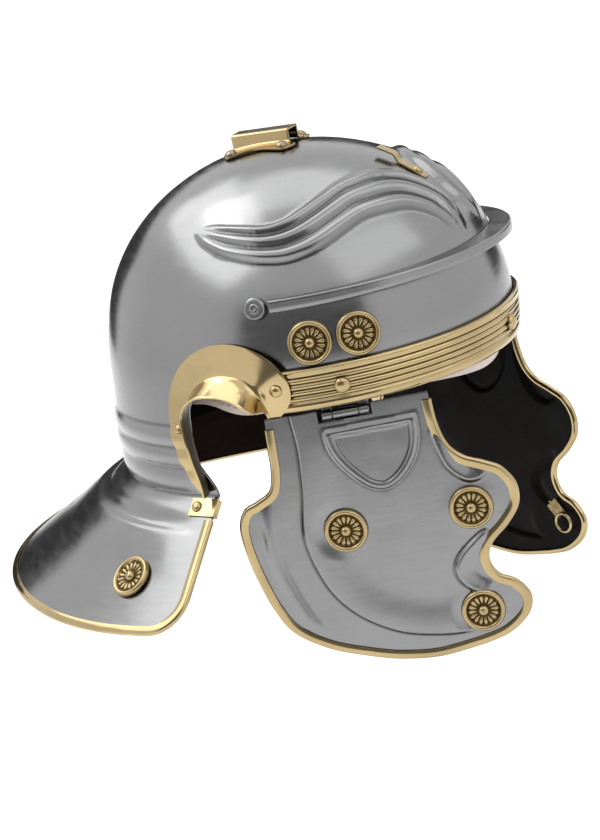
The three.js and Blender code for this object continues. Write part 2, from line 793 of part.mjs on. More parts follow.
const bandRivetTurn = THREE.MathUtils.degToRad(63.2);
addPair('band_rivet', bowlRivet(-bandRivetTurn, bandHeight / 2, 3.9, rivetRadius), 'brass');
addPiece('band_rivet_front', bowlRivet(0, bandHeight / 2, 3.9, rivetRadius), 'brass');

const earFrontRivet = turnBehind(-20.7, 14.5);
const earBackRivet = turnBehind(42.5, -4.5);
addPair('ear_rivet_front', bowlRivet(earFrontRivet, 14.5, earGap + wallOfBrass + earTabLift + 0.8, 3), 'brass');
addPair('ear_rivet_back', bowlRivet(earBackRivet, -4.5, earGap + wallOfBrass + 0.8, 2.6), 'brass');

const clipRivetTurn = -guardEdgeTurn - 9.5 / (bowlHalfWidth * napeSpread);
const clipRivetSpot = onGuard(clipRivetTurn, 7.5, bindingGap + bindingWall + 0.3);
addPair('clip_rivet', rivet(clipRivetSpot, guardOutward(clipRivetTurn, 7.5), 3), 'brass');

function peakDisc() {
  const outline = [[0, 0], [peakDiscRadius, 0], [peakDiscRadius, 2.6], [peakDiscRadius - 1, 3.6], [0, 3.6]];
  const spot = onBowl(-peakEndTurn, peakSideLevel, peakGap);
  return standingOn(spot, bowlOutward(-peakEndTurn, peakSideLevel), outline, 12);
}

addPair('peak_end', peakDisc(), 'steel');

// ---------------------------------------------------------------- crest box and crest hook

function crownLevel(x, y) {
  return bowlWidestLevel + bowlRise * Math.sqrt(1 - (x / bowlHalfWidth) ** 2 - (y / bowlHalfLength) ** 2);
}

// A channel open at both ends, with a flange on each side that follows the bowl.
function crestBox() {
  const edge = crestFlangeHalfWidth;
  const wall = crestBoxHalfWidth;
  const foot = wall + 1.5;
  const inner = wall - 1.1;
  const outline = [
    [-edge, 0], [-foot, 0], [-inner, 0], [-inner, 2], [inner, 2], [inner, 0], [foot, 0], [edge, 0],
    [edge, 1], [foot, 1], [wall, 1], [wall, 3], [-wall, 3], [-wall, 1], [-foot, 1], [-edge, 1],
  ];
  return carriedOutline(outline, 4, (t, x, height) => {
    const length = Math.abs(x) < foot ? crestBoxLength : crestFlangeLength;
    const y = crestBoxMiddle + (t - 0.5) * length;
    const bowl = crownLevel(x, y);
    const level = [bowl + 0.6, bowl + 1.7, crestBoxTop - 1.1, crestBoxTop][height];
    return new THREE.Vector3(x, y, level);
  });
}

addPiece('crest_box', crestBox(), 'brass');
[['front', -9.8], ['back', 22]].forEach(([where, y]) => {
  const spot = new THREE.Vector3(-12.7, y, crownLevel(-12.7, y) + 2.1);
  const outward = new THREE.Vector3(-12.7 / bowlHalfWidth ** 2, y / bowlHalfLength ** 2, 0);
  outward.z = (crownLevel(-12.7, y) - bowlWidestLevel) / bowlRise ** 2;
  addPair(`crest_rivet_${where}`, rivet(spot, outward.normalize(), 3.4), 'brass');
});

// A strip along the middle of the bowl whose back end stands up as a tongue.
function crestHook() {
  return bentBlock(10, 1, (u, v, w) => {
    const y = THREE.MathUtils.lerp(hookFront, hookBack, u);
    const x = (v - 0.5) * hookWidth;
    const lift = hookRise * THREE.MathUtils.smoothstep(y, hookBend - 3, hookBend + 3);
    return new THREE.Vector3(x, y, crownLevel(x, y) + 0.6 + lift + w * 1.2);
  });
}

addPiece('crest_hook', crestHook(), 'brass');
const hookRivetSpot = new THREE.Vector3(0, -81, crownLevel(0, -81) + 2.4);
const hookOutward = new THREE.Vector3(0, -81 / bowlHalfLength ** 2, 0);
hookOutward.z = (crownLevel(0, -81) - bowlWidestLevel) / bowlRise ** 2;
addPiece('hook_rivet', rivet(hookRivetSpot, hookOutward.normalize(), 2.8), 'brass');

// ---------------------------------------------------------------- leather liner

function linerFoot(turn) {
  return linerSideFoot + (linerFrontFoot - linerSideFoot) * Math.max(0, Math.cos(turn)) ** 6;
}

addPiece(
  'liner',
  bentBlock(40, 2, (u, v, w) => {
    const turn = THREE.MathUtils.lerp(-Math.PI + 0.02, Math.PI - 0.02, u);
    const level = THREE.MathUtils.lerp(linerTop, linerFoot(turn), v);
    return onBowl(turn, level, -steelThickness - linerGap - w * linerThickness);
  }),
  'leather',
);

// ---------------------------------------------------------------- the two hinged guards

addPair('hinge_upper', upperHingeLeaf(), 'steel');
addPair('hinge_pin', hingePin(), 'steel');

function addCheek(side, shape, parent) {
  addPiece(`cheek_${side}`, shape(cheekPlate()), 'steel', parent);
  const trim = boundEdge(cheekEdgeStations(), bindingDepth, cheekThickness / 2);
  addPiece(`cheek_trim_${side}`, shape(trim), 'brass', parent);
  addPiece(`hinge_lower_${side}`, shape(lowerHingeLeaf()), 'steel', parent);
  addPiece(`lace_tab_${side}`, shape(laceTab()), 'brass', parent);
  addPiece(`lace_ring_${side}`, shape(laceRing()), 'brass', parent);
  cheekRosettes.forEach(([behind, level], i) => {
    const spot = onCheek(behind, level, cheekThickness / 2 + 0.4);
    addPiece(`cheek_rosette_${i + 1}_${side}`, shape(rosette(spot, cheekOutward(behind, level))), 'brass', parent);
  });
}

addCheek('right', (geometry) => geometry, helmet);

const leftCheek = new THREE.Group();
const leftHinge = new THREE.Vector3(-hingeSpot.x, hingeSpot.y, hingeSpot.z);
const leftPin = new THREE.Vector3(-hingeAlong.x, hingeAlong.y, 0);
leftCheek.quaternion.setFromAxisAngle(leftPin, leftCheekSwing);
leftCheek.position.copy(leftHinge).sub(leftHinge.clone().applyQuaternion(leftCheek.quaternion));
helmet.add(leftCheek);
addCheek('left', mirrored, leftCheek);

export default helmet;
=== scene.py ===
import math

import bmesh
import bpy
from mathutils import Matrix, Vector
from mathutils.kdtree import KDTree


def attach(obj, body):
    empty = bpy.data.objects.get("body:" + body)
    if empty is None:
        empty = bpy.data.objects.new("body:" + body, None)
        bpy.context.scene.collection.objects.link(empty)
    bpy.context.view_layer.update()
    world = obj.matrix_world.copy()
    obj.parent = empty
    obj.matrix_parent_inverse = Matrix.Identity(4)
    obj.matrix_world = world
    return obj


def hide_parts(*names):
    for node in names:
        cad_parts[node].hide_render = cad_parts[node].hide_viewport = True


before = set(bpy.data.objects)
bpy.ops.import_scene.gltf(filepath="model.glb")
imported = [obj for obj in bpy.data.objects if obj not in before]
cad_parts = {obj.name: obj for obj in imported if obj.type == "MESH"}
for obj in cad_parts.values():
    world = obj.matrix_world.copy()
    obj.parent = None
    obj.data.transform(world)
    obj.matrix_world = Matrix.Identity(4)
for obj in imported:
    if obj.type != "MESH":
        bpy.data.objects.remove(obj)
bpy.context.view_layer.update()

# Roman legionary helmet of the Imperial Gallic form.  Shapes are worked out in millimetres, in the
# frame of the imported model: the wearer faces -Y, the wearer's left is +X and up is +Z.
MM = 0.001
TAU = 2 * math.pi


# ---------------------------------------------------------------- camera

LENS_LENGTH = 102.19
SENSOR_WIDTH = 36
VIEW_RANGE = 300
CAMERA_SPOT = (-1.1740, -0.5870, 0.3367)
CAMERA_RIGHT = (0.3982, -0.8938, -0.2061)
CAMERA_UP = (0.3336, -0.0682, 0.9402)
CAMERA_BACK = (-0.8545, -0.4432, 0.2711)


def make_camera():
    lens = bpy.data.cameras.new("camera")
    lens.lens = LENS_LENGTH
    lens.sensor_width = SENSOR_WIDTH
    lens.clip_end = VIEW_RANGE
    camera = bpy.data.objects.new("camera", lens)
    turned = Matrix((CAMERA_RIGHT, CAMERA_UP, CAMERA_BACK)).transposed().to_4x4()
    camera.matrix_world = Matrix.Translation(CAMERA_SPOT) @ turned
    bpy.context.scene.collection.objects.link(camera)
    bpy.context.scene.camera = camera


make_camera()


# ---------------------------------------------------------------- small sums

def mix(a, b, t):
    return a + (b - a) * t


def clamp(value, low=0.0, high=1.0):
    return max(low, min(high, value))


def smoothstep(value, low, high):
    t = clamp((value - low) / (high - low))
    return t * t * (3 - 2 * t)


def hump(value, middle, half_width):
    """A soft rise of height 1 at the middle, gone at half_width to each side."""
    away = abs(value - middle) / half_width
    return 0.5 + 0.5 * math.cos(math.pi * away) if away < 1 else 0.0


def smooth_line(points):
    """A smooth curve through the points: call it with a share from 0 to 1."""
    spots = [Vector(point) for point in points]
    last = len(spots) - 1

    def at(share):
        place = clamp(share) * last
        i = min(int(place), last - 1)
        t = place - i
        a, b, c, d = spots[max(i - 1, 0)], spots[i], spots[i + 1], spots[min(i + 2, last)]
        start = (c - a) / 2
        finish = (d - b) / 2
        bend = (2 * b - 2 * c + start + finish) * t ** 3
        return bend + (3 * c - 3 * b - 2 * start - finish) * t ** 2 + start * t + b

    return at


def steps_along(line, count):
    return [line(i / count) for i in range(count + 1)]


CLOSING_STEPS = 120


def flat_line(points, count, closed=False):
    """A pressed line on a guard: its points, and a tree to find the nearest of them."""
    path = steps_along(smooth_line(points), count)
    if closed:
        start, end = path[-1], path[0]
        path += [start.lerp(end, i / CLOSING_STEPS) for i in range(1, CLOSING_STEPS)]
    tree = KDTree(len(path))
    for i, spot in enumerate(path):
        tree.insert((*spot, 0), i)
    tree.balance()
    return path, tree


def from_line(line, spot):
    """Distance of a flat spot from a line, positive on the line's left, and the share along it."""
    path, tree = line
    near, index, distance = tree.find((*spot, 0))
    run = path[min(index + 1, len(path) - 1)] - path[max(index - 1, 0)]
    side = run.x * (spot.y - near.y) - run.y * (spot.x - near.x)
    return math.copysign(distance, side), index / (len(path) - 1)


def within(path, spot):
    """Whether a flat spot lies inside a closed path."""
    inside = False
    for a, b in zip(path, path[1:] + path[:1]):
        if (a.y > spot.y) != (b.y > spot.y):
            if spot.x < a.x + (spot.y - a.y) / (b.y - a.y) * (b.x - a.x):
                inside = not inside
    return inside


# ---------------------------------------------------------------- ways of making a piece

def bent_grid(columns, rows, place):
    """A grid whose points are moved to place(column share, row share), in millimetres."""
    mesh = bmesh.new()
    bmesh.ops.create_grid(mesh, x_segments=columns, y_segments=rows, size=0.5)
    for point in mesh.verts:
        point.co = place(point.co.x + 0.5, point.co.y + 0.5) * MM
    return mesh


def welded(mesh, near=2e-6):
    bmesh.ops.remove_doubles(mesh, verts=mesh.verts[:], dist=near)
    bmesh.ops.dissolve_degenerate(mesh, edges=mesh.edges[:], dist=near)
    return mesh


def face_away(mesh, centre):
    """Turns an open skin so that it faces away from a point inside the helmet."""
    bmesh.ops.recalc_face_normals(mesh, faces=mesh.faces[:])
    middle = Vector(centre) * MM
    outward = sum(
        f.normal.dot(f.calc_center_median() - middle) * f.calc_area() for f in mesh.faces)
    if outward < 0:
        bmesh.ops.reverse_faces(mesh, faces=mesh.faces[:])
    return mesh


def bent_bar(steps, outline, place):
    """A closed outline carried along a route, with both ends closed: place(share, x, y)."""
    count = len(outline)

    def on_bar(u, v):
        x, y = outline[round(v * count) % count]
        return place(u, x, y)

    mesh = welded(bent_grid(steps, count, on_bar))
    ends = [e for e in mesh.edges if e.is_boundary]
    if ends:
        bmesh.ops.holes_fill(mesh, edges=ends, sides=0)
    bmesh.ops.recalc_face_normals(mesh, faces=mesh.faces[:])
    return mesh


def turned_piece(profile, sides, spot, outward, shape=None):
    """A turned piece standing on a surface.  The profile runs from the middle of its top, over
    its edge to the middle of its foot, as (radius, height)."""
    mesh = bmesh.new()
    points = [mesh.verts.new((radius * MM, 0, height * MM)) for radius, height in profile]
    edges = [mesh.edges.new(pair) for pair in zip(points, points[1:])]
    bmesh.ops.spin(mesh, geom=points + edges, cent=(0, 0, 0), axis=(0, 0, 1),
                   angle=TAU, steps=sides, use_merge=True, use_duplicate=False)
    welded(mesh, 1e-6)
    if shape:
        shape(mesh)
    bmesh.ops.recalc_face_normals(mesh, faces=mesh.faces[:])
    turn = Vector(outward).to_track_quat("Z", "Y").to_matrix().to_4x4()
    placed = Matrix.Translation(Vector(spot) * MM) @ turn
    bmesh.ops.transform(mesh, matrix=placed, verts=mesh.verts[:])
    return mesh


def plate(size, middle, rounding, segments=2):
    """A block with softened edges."""
    mesh = bmesh.new()
    bmesh.ops.create_cube(mesh, size=1)
    bmesh.ops.scale(mesh, vec=Vector(size) * MM, verts=mesh.verts[:])
    bmesh.ops.translate(mesh, vec=Vector(middle) * MM, verts=mesh.verts[:])
    bmesh.ops.bevel(mesh, geom=mesh.edges[:], offset=rounding * MM, segments=segments,
                    profile=0.5, affect="EDGES", material=-1)
    return mesh


def joined(meshes):
    whole = bmesh.new()
    for mesh in meshes:
        part = bpy.data.meshes.new("part")
        mesh.to_mesh(part)
        mesh.free()
        whole.from_mesh(part)
        bpy.data.meshes.remove(part)
    return whole


def moved(mesh, matrix):
    bmesh.ops.transform(mesh, matrix=matrix, verts=mesh.verts[:])
    return mesh


def mirrored(mesh):
    other = mesh.copy()
    bmesh.ops.transform(other, matrix=Matrix.Scale(-1, 4, (1, 0, 0)), verts=other.verts[:])
    bmesh.ops.reverse_faces(other, faces=other.faces[:])
    return other


def softened(mesh, points):
    """Evens out some points of a skin, three times over."""
    for _ in range(3):
        bmesh.ops.smooth_vert(mesh, verts=points, factor=0.5,
                              use_axis_x=True, use_axis_y=True, use_axis_z=True)


def set_hollow(mesh, hollow):
    """Marks how far down in a recess each point lies, for the tarnish on brass and the painted groove
    shade on steel; the ear guards use it for a painted dark reflection: hollow(point) in mm.
    """
    layer = mesh.verts.layers.float.get("hollow") or mesh.verts.layers.float.new("hollow")
    for point in mesh.verts:
        point[layer] = hollow(point.co / MM)
    return mesh


def new_object(name, mesh, materials):
    data = bpy.data.meshes.new(name)
    mesh.to_mesh(data)
    mesh.free()
    for material in materials:
        data.materials.append(material)
    thing = bpy.data.objects.new(name, data)
    bpy.context.scene.collection.objects.link(thing)
    return thing


EDGE_ROUNDED_FROM = math.radians(50)


def finish_piece(name, mesh, body, slot, materials, nodes, wall=None, edge=None, smooth=40):
    """Makes the object, rides it on its body and hides the CAD parts it stands for."""
    piece = new_object(name, mesh, materials)
    piece.data.shade_smooth()
    piece.data.set_sharp_from_angle(angle=math.radians(smooth))
    if wall:
        solid = piece.modifiers.new("wall", "SOLIDIFY")
        solid.thickness = wall * MM
        solid.offset = -1
        solid.use_even_offset = True
        if len(materials) > 1:
            solid.material_offset = 1
    if edge:
        soft = piece.modifiers.new("edge", "BEVEL")
        soft.width = edge * MM
        soft.segments = 2
        soft.limit_method = "ANGLE"
        soft.angle_limit = EDGE_ROUNDED_FROM
    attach(piece, body)
    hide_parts(*nodes)


def finish_pair(name, mesh, slot, material, node, **more):
    """A piece made for the wearer's right, and its mirror image for the left."""
    other = mirrored(mesh)
    finish_piece(f"{name}_a", mesh, "helmet", slot, material, [f"{node}_right"], **more)
    finish_piece(f"{name}_b", other, "helmet", slot, material, [f"{node}_left"], **more)


# ---------------------------------------------------------------- finishes

def new_material(name):
    material = bpy.data.materials.new(name)
    material.use_nodes = True
    tree = material.node_tree
    return material, tree.nodes, tree.links, tree.nodes["Principled BSDF"]


def noise_on(nodes, links, scale, detail, stretch=(1, 1, 1)):
    place = nodes.new("ShaderNodeTexCoord")
    centre = nodes.new("ShaderNodeMapping")
    centre.inputs["Scale"].default_value = stretch
    grain = nodes.new("ShaderNodeTexNoise")
    grain.inputs["Scale"].default_value = scale
    grain.inputs["Detail"].default_value = detail
    links.new(place.outputs["Object"], centre.inputs["Vector"])
    links.new(centre.outputs["Vector"], grain.inputs["Vector"])
    return grain


def ramp_from(nodes, links, source, stops):
    ramp = nodes.new("ShaderNodeValToRGB")
    links.new(source, ramp.inputs["Fac"])
    ramp.color_ramp.elements[0].position = stops[0][0]
    ramp.color_ramp.elements[0].color = (*stops[0][1], 1)
    ramp.color_ramp.elements[1].position = stops[1][0]
    ramp.color_ramp.elements[1].color = (*stops[1][1], 1)
    return ramp


def grey(value):
    return (value, value, value)


def toned(tone, share):
    return tuple(c * share for c in tone)


def bump_from(nodes, links, source, strength, distance):
    bump = nodes.new("ShaderNodeBump")
    bump.inputs["Strength"].default_value = strength
    bump.inputs["Distance"].default_value = distance
    links.new(source, bump.inputs["Height"])
    return bump


def hollow_share(nodes):
    """How far down in a recess a point lies, from its piece's own attribute."""
    recess = nodes.new("ShaderNodeAttribute")
    recess.attribute_name = "hollow"
    return recess.outputs["Fac"]


def turned_into(nodes, links, share, colour, other):
    """A colour that turns into another one where the share is high."""
    blend = nodes.new("ShaderNodeMix")
    blend.data_type = "RGBA"
    links.new(share, blend.inputs["Factor"])
    links.new(colour, blend.inputs[6])
    blend.inputs[7].default_value = (*other, 1)
    return blend.outputs[2]


# Colour for the steel's grooves: painted groove shade, with some polish residue.
STEEL_SHADE_AND_RESIDUE = (0.03, 0.029, 0.028)


def polished_steel(name, tone, roughness, waviness):
    """Hand-polished sheet steel: faint cloudiness, fine wipe marks and a gently uneven surface; its
    colour darkens where a piece marks its grooves, painted groove shade with some polish residue.
    """
    material, nodes, links, shader = new_material(name)
    shader.inputs["Metallic"].default_value = 1
    cloud = noise_on(nodes, links, 22, 5)
    colour = ramp_from(nodes, links, cloud.outputs["Fac"],
                       [(0.3, toned(tone, 0.96)), (0.7, toned(tone, 1.04))])
    # Painted groove shade, with some polish residue, where the piece marks hollows.
    groove_darkened = turned_into(nodes, links, hollow_share(nodes), colour.outputs["Color"], STEEL_SHADE_AND_RESIDUE)
    links.new(groove_darkened, shader.inputs["Base Color"])
    wipes = noise_on(nodes, links, 55, 3, (1, 1, 9))
    sheen = ramp_from(nodes, links, wipes.outputs["Fac"],
                      [(0.25, grey(roughness * 0.82)), (0.8, grey(roughness * 1.3))])
    links.new(sheen.outputs["Color"], shader.inputs["Roughness"])
    swell = noise_on(nodes, links, 26, 2)
    uneven = bump_from(nodes, links, swell.outputs["Fac"], waviness, 0.0012)
    marks = noise_on(nodes, links, 260, 4, (1, 1, 14))
    scuffs = bump_from(nodes, links, marks.outputs["Fac"], 0.05, 0.0004)
    links.new(uneven.outputs["Normal"], scuffs.inputs["Normal"])
    links.new(scuffs.outputs["Normal"], shader.inputs["Normal"])
    return material


TARNISH_ROUGHNESS = 0.62


def polished_brass(name, tone, tarnish, roughness):
    """Polished brass, browned in its recesses, with a little staining."""
    material, nodes, links, shader = new_material(name)
    shader.inputs["Metallic"].default_value = 1
    cloud = noise_on(nodes, links, 24, 4)
    clean = ramp_from(nodes, links, cloud.outputs["Fac"],
                      [(0.32, toned(tone, 0.82)), (0.68, toned(tone, 1.1))])
    specks = noise_on(nodes, links, 420, 3)
    depth = nodes.new("ShaderNodeMath")
    depth.operation = "MULTIPLY_ADD"
    depth.inputs[1].default_value = 0.5
    links.new(specks.outputs["Fac"], depth.inputs[0])
    links.new(hollow_share(nodes), depth.inputs[2])
    reach = nodes.new("ShaderNodeMapRange")
    reach.inputs["From Min"].default_value = 0.38
    reach.inputs["From Max"].default_value = 0.98
    links.new(depth.outputs["Value"], reach.inputs["Value"])
    # The hollow share also carries the painted dark reflection on the ear guards.
    coloured = turned_into(nodes, links, reach.outputs["Result"], clean.outputs["Color"], tarnish)
    links.new(coloured, shader.inputs["Base Color"])
    rough = nodes.new("ShaderNodeMapRange")
    rough.inputs["To Min"].default_value = roughness
    rough.inputs["To Max"].default_value = TARNISH_ROUGHNESS
    links.new(reach.outputs["Result"], rough.inputs["Value"])
    links.new(rough.outputs["Result"], shader.inputs["Roughness"])
    swell = noise_on(nodes, links, 45, 1)
    uneven = bump_from(nodes, links, swell.outputs["Fac"], 0.3, 0.0012)
    links.new(uneven.outputs["Normal"], shader.inputs["Normal"])
    return material


def black_paint(name, gloss_level):
    """The painted inside: nearly black, with a slight brown-red cast and a soft gloss."""
    material, nodes, links, shader = new_material(name)
    patches = noise_on(nodes, links, 14, 5)
    colour = ramp_from(nodes, links, patches.outputs["Fac"],
                       [(0.35, (0.004, 0.0035, 0.003)), (0.75, (0.009, 0.005, 0.004))])
    links.new(colour.outputs["Color"], shader.inputs["Base Color"])
    gloss = noise_on(nodes, links, 40, 3)
    sheen = ramp_from(nodes, links, gloss.outputs["Fac"], [(0.3, grey(0.4)), (0.7, grey(0.55))])
    links.new(sheen.outputs["Color"], shader.inputs["Roughness"])
    shader.inputs["Specular IOR Level"].default_value = gloss_level
    return material


def lining_leather(name):
    """Undyed leather: pinkish grey, with a fine pebbled grain and rubbed patches."""
    material, nodes, links, shader = new_material(name)
    rubbed = noise_on(nodes, links, 32, 5)
    colour = ramp_from(nodes, links, rubbed.outputs["Fac"],
                       [(0.3, (0.46, 0.38, 0.335)), (0.7, (0.63, 0.55, 0.50))])
    links.new(colour.outputs["Color"], shader.inputs["Base Color"])
    pebble = nodes.new("ShaderNodeTexVoronoi")
    pebble.inputs["Scale"].default_value = 650
    place = nodes.new("ShaderNodeTexCoord")
    links.new(place.outputs["Object"], pebble.inputs["Vector"])
    grain = bump_from(nodes, links, pebble.outputs["Distance"], 0.5, 0.0003)
    links.new(grain.outputs["Normal"], shader.inputs["Normal"])
    dry = ramp_from(nodes, links, rubbed.outputs["Fac"], [(0.3, grey(0.62)), (0.7, grey(0.8))])
    links.new(dry.outputs["Color"], shader.inputs["Roughness"])
    return material


def waxed_thread(name):
    material, nodes, links, shader = new_material(name)
    twist = noise_on(nodes, links, 900, 2)
    colour = ramp_from(nodes, links, twist.outputs["Fac"],
                       [(0.3, (0.34, 0.27, 0.19)), (0.7, (0.55, 0.46, 0.34))])
    links.new(colour.outputs["Color"], shader.inputs["Base Color"])
    shader.inputs["Roughness"].default_value = 0.7
    return material


STEEL_TONE = (0.229, 0.230, 0.231)
BRASS_TONE = (0.43, 0.33, 0.172)
TARNISH = (0.10, 0.062, 0.022)
steel_bowl = polished_steel("steel_bowl", STEEL_TONE, 0.2, 0.3)
steel_guard = polished_steel("steel_guard", STEEL_TONE, 0.22, 0.35)
steel_fitting = polished_steel("steel_fitting", toned(STEEL_TONE, 0.95), 0.24, 0.2)
brass_band = polished_brass("brass_band", BRASS_TONE, TARNISH, 0.15)
brass_ear = polished_brass("brass_ear", BRASS_TONE, TARNISH, 0.12)
# A darker, rougher copy of the brass for the ear guards' inner faces: painted shade on the ledge's
# underside.
brass_dull_shaded = polished_brass("brass_dull_shaded", toned(BRASS_TONE, 0.3), TARNISH, 0.4)
brass_dark = polished_brass("brass_dark", (0.27, 0.22, 0.15), TARNISH, 0.24)
brass_edging = polished_brass("brass_edging", BRASS_TONE, TARNISH, 0.13)
brass_rosette = polished_brass("brass_rosette", toned(BRASS_TONE, 0.92), TARNISH, 0.26)
brass_fitting = polished_brass("brass_fitting", BRASS_TONE, TARNISH, 0.22)
inner_paint = black_paint("inner_paint", 0.06)
shell_paint = black_paint("shell_paint", 0)
leather = lining_leather("leather")
thread = waxed_thread("thread")


# ---------------------------------------------------------------- the bowl's surface

BOWL_HALF_LENGTH = 119.5
BOWL_HALF_WIDTH = 100.8
BOWL_RISE = 100.9
BOWL_WIDEST_LEVEL = 25
STEEL_WALL = 1.5
NAPE_SPREAD = 1.056
NAPE_FOOT = -42
NAPE_RIBS = [-3, -15, -27, -42]
NAPE_RIB_BULGE = 1.2
EAR_OPENING_MIDDLE = 11
EAR_OPENING_HALF_WIDTH = 24.3
EAR_OPENING_HEIGHT = 24


def outline_share(turn, level):
    rise = (level - BOWL_WIDEST_LEVEL) / BOWL_RISE
    around = math.sqrt(max(0, 1 - rise * rise))
    flare = 1 - smoothstep(level, -20, 50)
    behind = smoothstep(math.degrees(abs(turn)), 80, 100)
    lean = 0.037 * max(0, math.cos(turn)) ** 4 * (1 - smoothstep(level, 50, 78))
    return mix(around, NAPE_SPREAD, flare * behind) * (1 - lean)


def rib_bulge(turn, level):
    for top, foot in zip(NAPE_RIBS, NAPE_RIBS[1:]):
        along = (top - level) / (top - foot)
        if 0 < along < 1:
            rise = NAPE_RIB_BULGE * math.sin(math.pi * along)
            return rise * smoothstep(math.degrees(abs(turn)), 104, 112)
    return 0


def bowl_point(turn, level):
    share = outline_share(turn, level)
    bulge = rib_bulge(turn, level)
    across = math.sin(turn) * (BOWL_HALF_WIDTH * share + bulge)
    along = -math.cos(turn) * (BOWL_HALF_LENGTH * share + bulge)
    return Vector((across, along, level))


def bowl_outward(turn, level):
    small = 0.01
    here = bowl_point(turn, level)
    around = bowl_point(turn + small, level) - here
    up = bowl_point(turn, level + small) - here
    return around.cross(up).normalized()


def on_bowl(turn, level, out=0.0):
    return bowl_point(turn, level) + bowl_outward(turn, level) * out


def turn_behind(behind, level):
    """The turn on the wearer's right at which the bowl lies so far behind the origin."""
    turn = -math.pi / 2
    for _ in range(8):
        reach = BOWL_HALF_LENGTH * outline_share(turn, level)
        turn = -math.acos(clamp(-behind / reach, -1, 1))
    return turn


def on_bowl_side(behind, level, out=0.0):
    return on_bowl(turn_behind(behind, level), level, out)


# ---------------------------------------------------------------- brows pressed into the bowl

# The upper and lower edges of the right brow, from its rear point to its front point.
BROW_UPPER = smooth_line([
    (-68, 26, 97), (-68, 19, 99), (-70, 13, 99), (-70, 4, 98), (-71, -8, 97), (-71, -19, 96),
    (-67, -28, 97), (-62, -35, 100), (-53, -43, 104), (-42, -49, 107), (-33, -56, 109),
    (-24, -62, 109), (-16, -69, 107), (-10, -76, 103), (-6, -84, 98), (-3, -92, 91), (-3, -98, 84),
    (-7, -103, 77), (-10, -107, 70), (-12, -108, 64)])
BROW_LOWER = smooth_line([
    (-68, 26, 96), (-75, 18, 90), (-79, 12, 87), (-83, 4, 84), (-84, -7, 80), (-84, -22, 77),
    (-82, -34, 76), (-77, -46, 78), (-70, -55, 81), (-61, -63, 85), (-54, -69, 88), (-47, -75, 88),
    (-42, -80, 88), (-35, -86, 87), (-30, -91, 84), (-26, -96, 80), (-23, -100, 75),
    (-20, -104, 70), (-16, -106, 66), (-13, -108, 64)])
BROW_FOOT = 58
BROW_REAR = 34
BROW_HEIGHT = 3.6
BROW_STATIONS = 600
BROW_GROOVE_FLOOR = 0.22
# Shares of the way down across the brow: two crests on the outer ribs, and the two grooves.
UPPER_CREST = 0.13
UPPER_GROOVE = 0.27
LOWER_GROOVE = 0.60
LOWER_CREST = 0.80


def edge_of_brow(line):
    """The points along one edge of the brow, to find the nearest of them quickly."""
    tree = KDTree(BROW_STATIONS + 1)
    for i, spot in enumerate(steps_along(line, BROW_STATIONS)):
        tree.insert(spot, i)
    tree.balance()
    return tree


brow_upper_tree = edge_of_brow(BROW_UPPER)
brow_lower_tree = edge_of_brow(BROW_LOWER)


def brow_profile(t, low):
    """Height across the brow, from its upper edge at 0 to its lower edge at 1: three round ribs
    with two narrow grooves between them, down to a low share, and soft outer shoulders."""
    if t <= 0 or t >= 1:
        return 0.0
    if t < UPPER_CREST:
        return 0.5 - 0.5 * math.cos(math.pi * t / UPPER_CREST)
    if t < UPPER_GROOVE:
        along = (t - UPPER_CREST) / (UPPER_GROOVE - UPPER_CREST)
        return low + (1 - low) * math.cos(math.pi / 2 * along)
    if t < LOWER_GROOVE:
        along = (t - UPPER_GROOVE) / (LOWER_GROOVE - UPPER_GROOVE)
        return low + (1 - low) * math.sin(math.pi * along)
    if t < LOWER_CREST:
        along = (t - LOWER_GROOVE) / (LOWER_CREST - LOWER_GROOVE)
        return low + (1 - low) * math.sin(math.pi / 2 * along)
    return 0.5 + 0.5 * math.cos(math.pi * (t - LOWER_CREST) / (1 - LOWER_CREST))


def brow_share(point):
    """How wide the brow is at a point of the bowl, and the share of the way down across it."""
    if point.z < BROW_FOOT or point.y > BROW_REAR:
        return 0.0, 0.0
    spot = Vector((-abs(point.x), point.y, point.z))
    outward = Vector((spot.x / BOWL_HALF_WIDTH ** 2, spot.y / BOWL_HALF_LENGTH ** 2,
                      (spot.z - BOWL_WIDEST_LEVEL) / BOWL_RISE ** 2))
    shares, away, sides = [], [], []
    for line, tree in ((BROW_UPPER, brow_upper_tree), (BROW_LOWER, brow_lower_tree)):
        near, index, distance = tree.find(spot)
        share = index / BROW_STATIONS
        run = line(share + 0.004) - line(share - 0.004)
        shares.append(share)
        away.append(distance)
        sides.append(run.cross(spot - near).dot(outward))
    if sides[0] > 0 or sides[1] < 0 or sum(away) < 1e-6:
        return 0.0, 0.0
    width = min((BROW_UPPER(share) - BROW_LOWER(share)).length for share in shares)
    return width, away[0] / sum(away)


def brow_rise(point):
    """How far the pressed brow stands out at a point of the bowl, in millimetres."""
    width, share = brow_share(point)
    low = mix(0.9, BROW_GROOVE_FLOOR, smoothstep(width, 5, 17))
    return BROW_HEIGHT * smoothstep(width, 0, 20) * brow_profile(share, low)


def brow_shade_and_residue(point):
    """Painted shade, with some polish residue, in the grooves of the brow and along its lower foot."""
    width, share = brow_share(point)
    grooves = hump(share, UPPER_GROOVE, 0.07) + hump(share, LOWER_GROOVE, 0.06)
    foot = 0.5 * hump(share, 0.95, 0.08)
    return 0.85 * (grooves + foot) * smoothstep(width, 3, 12)


# ---------------------------------------------------------------- bowl, nape and neck guard

GUARD_SIDE_SLOPE = math.radians(43.5)
GUARD_BACK_SLOPE = math.radians(29.5)
GUARD_REACH_BACK = 95.5
GUARD_REACH_SIDE = 80
GUARD_EDGE_TURN = math.radians(102)
GUARD_CORNER = 20
GUARD_STEP_AT = 24
GUARD_STEP_HEIGHT = 1.6

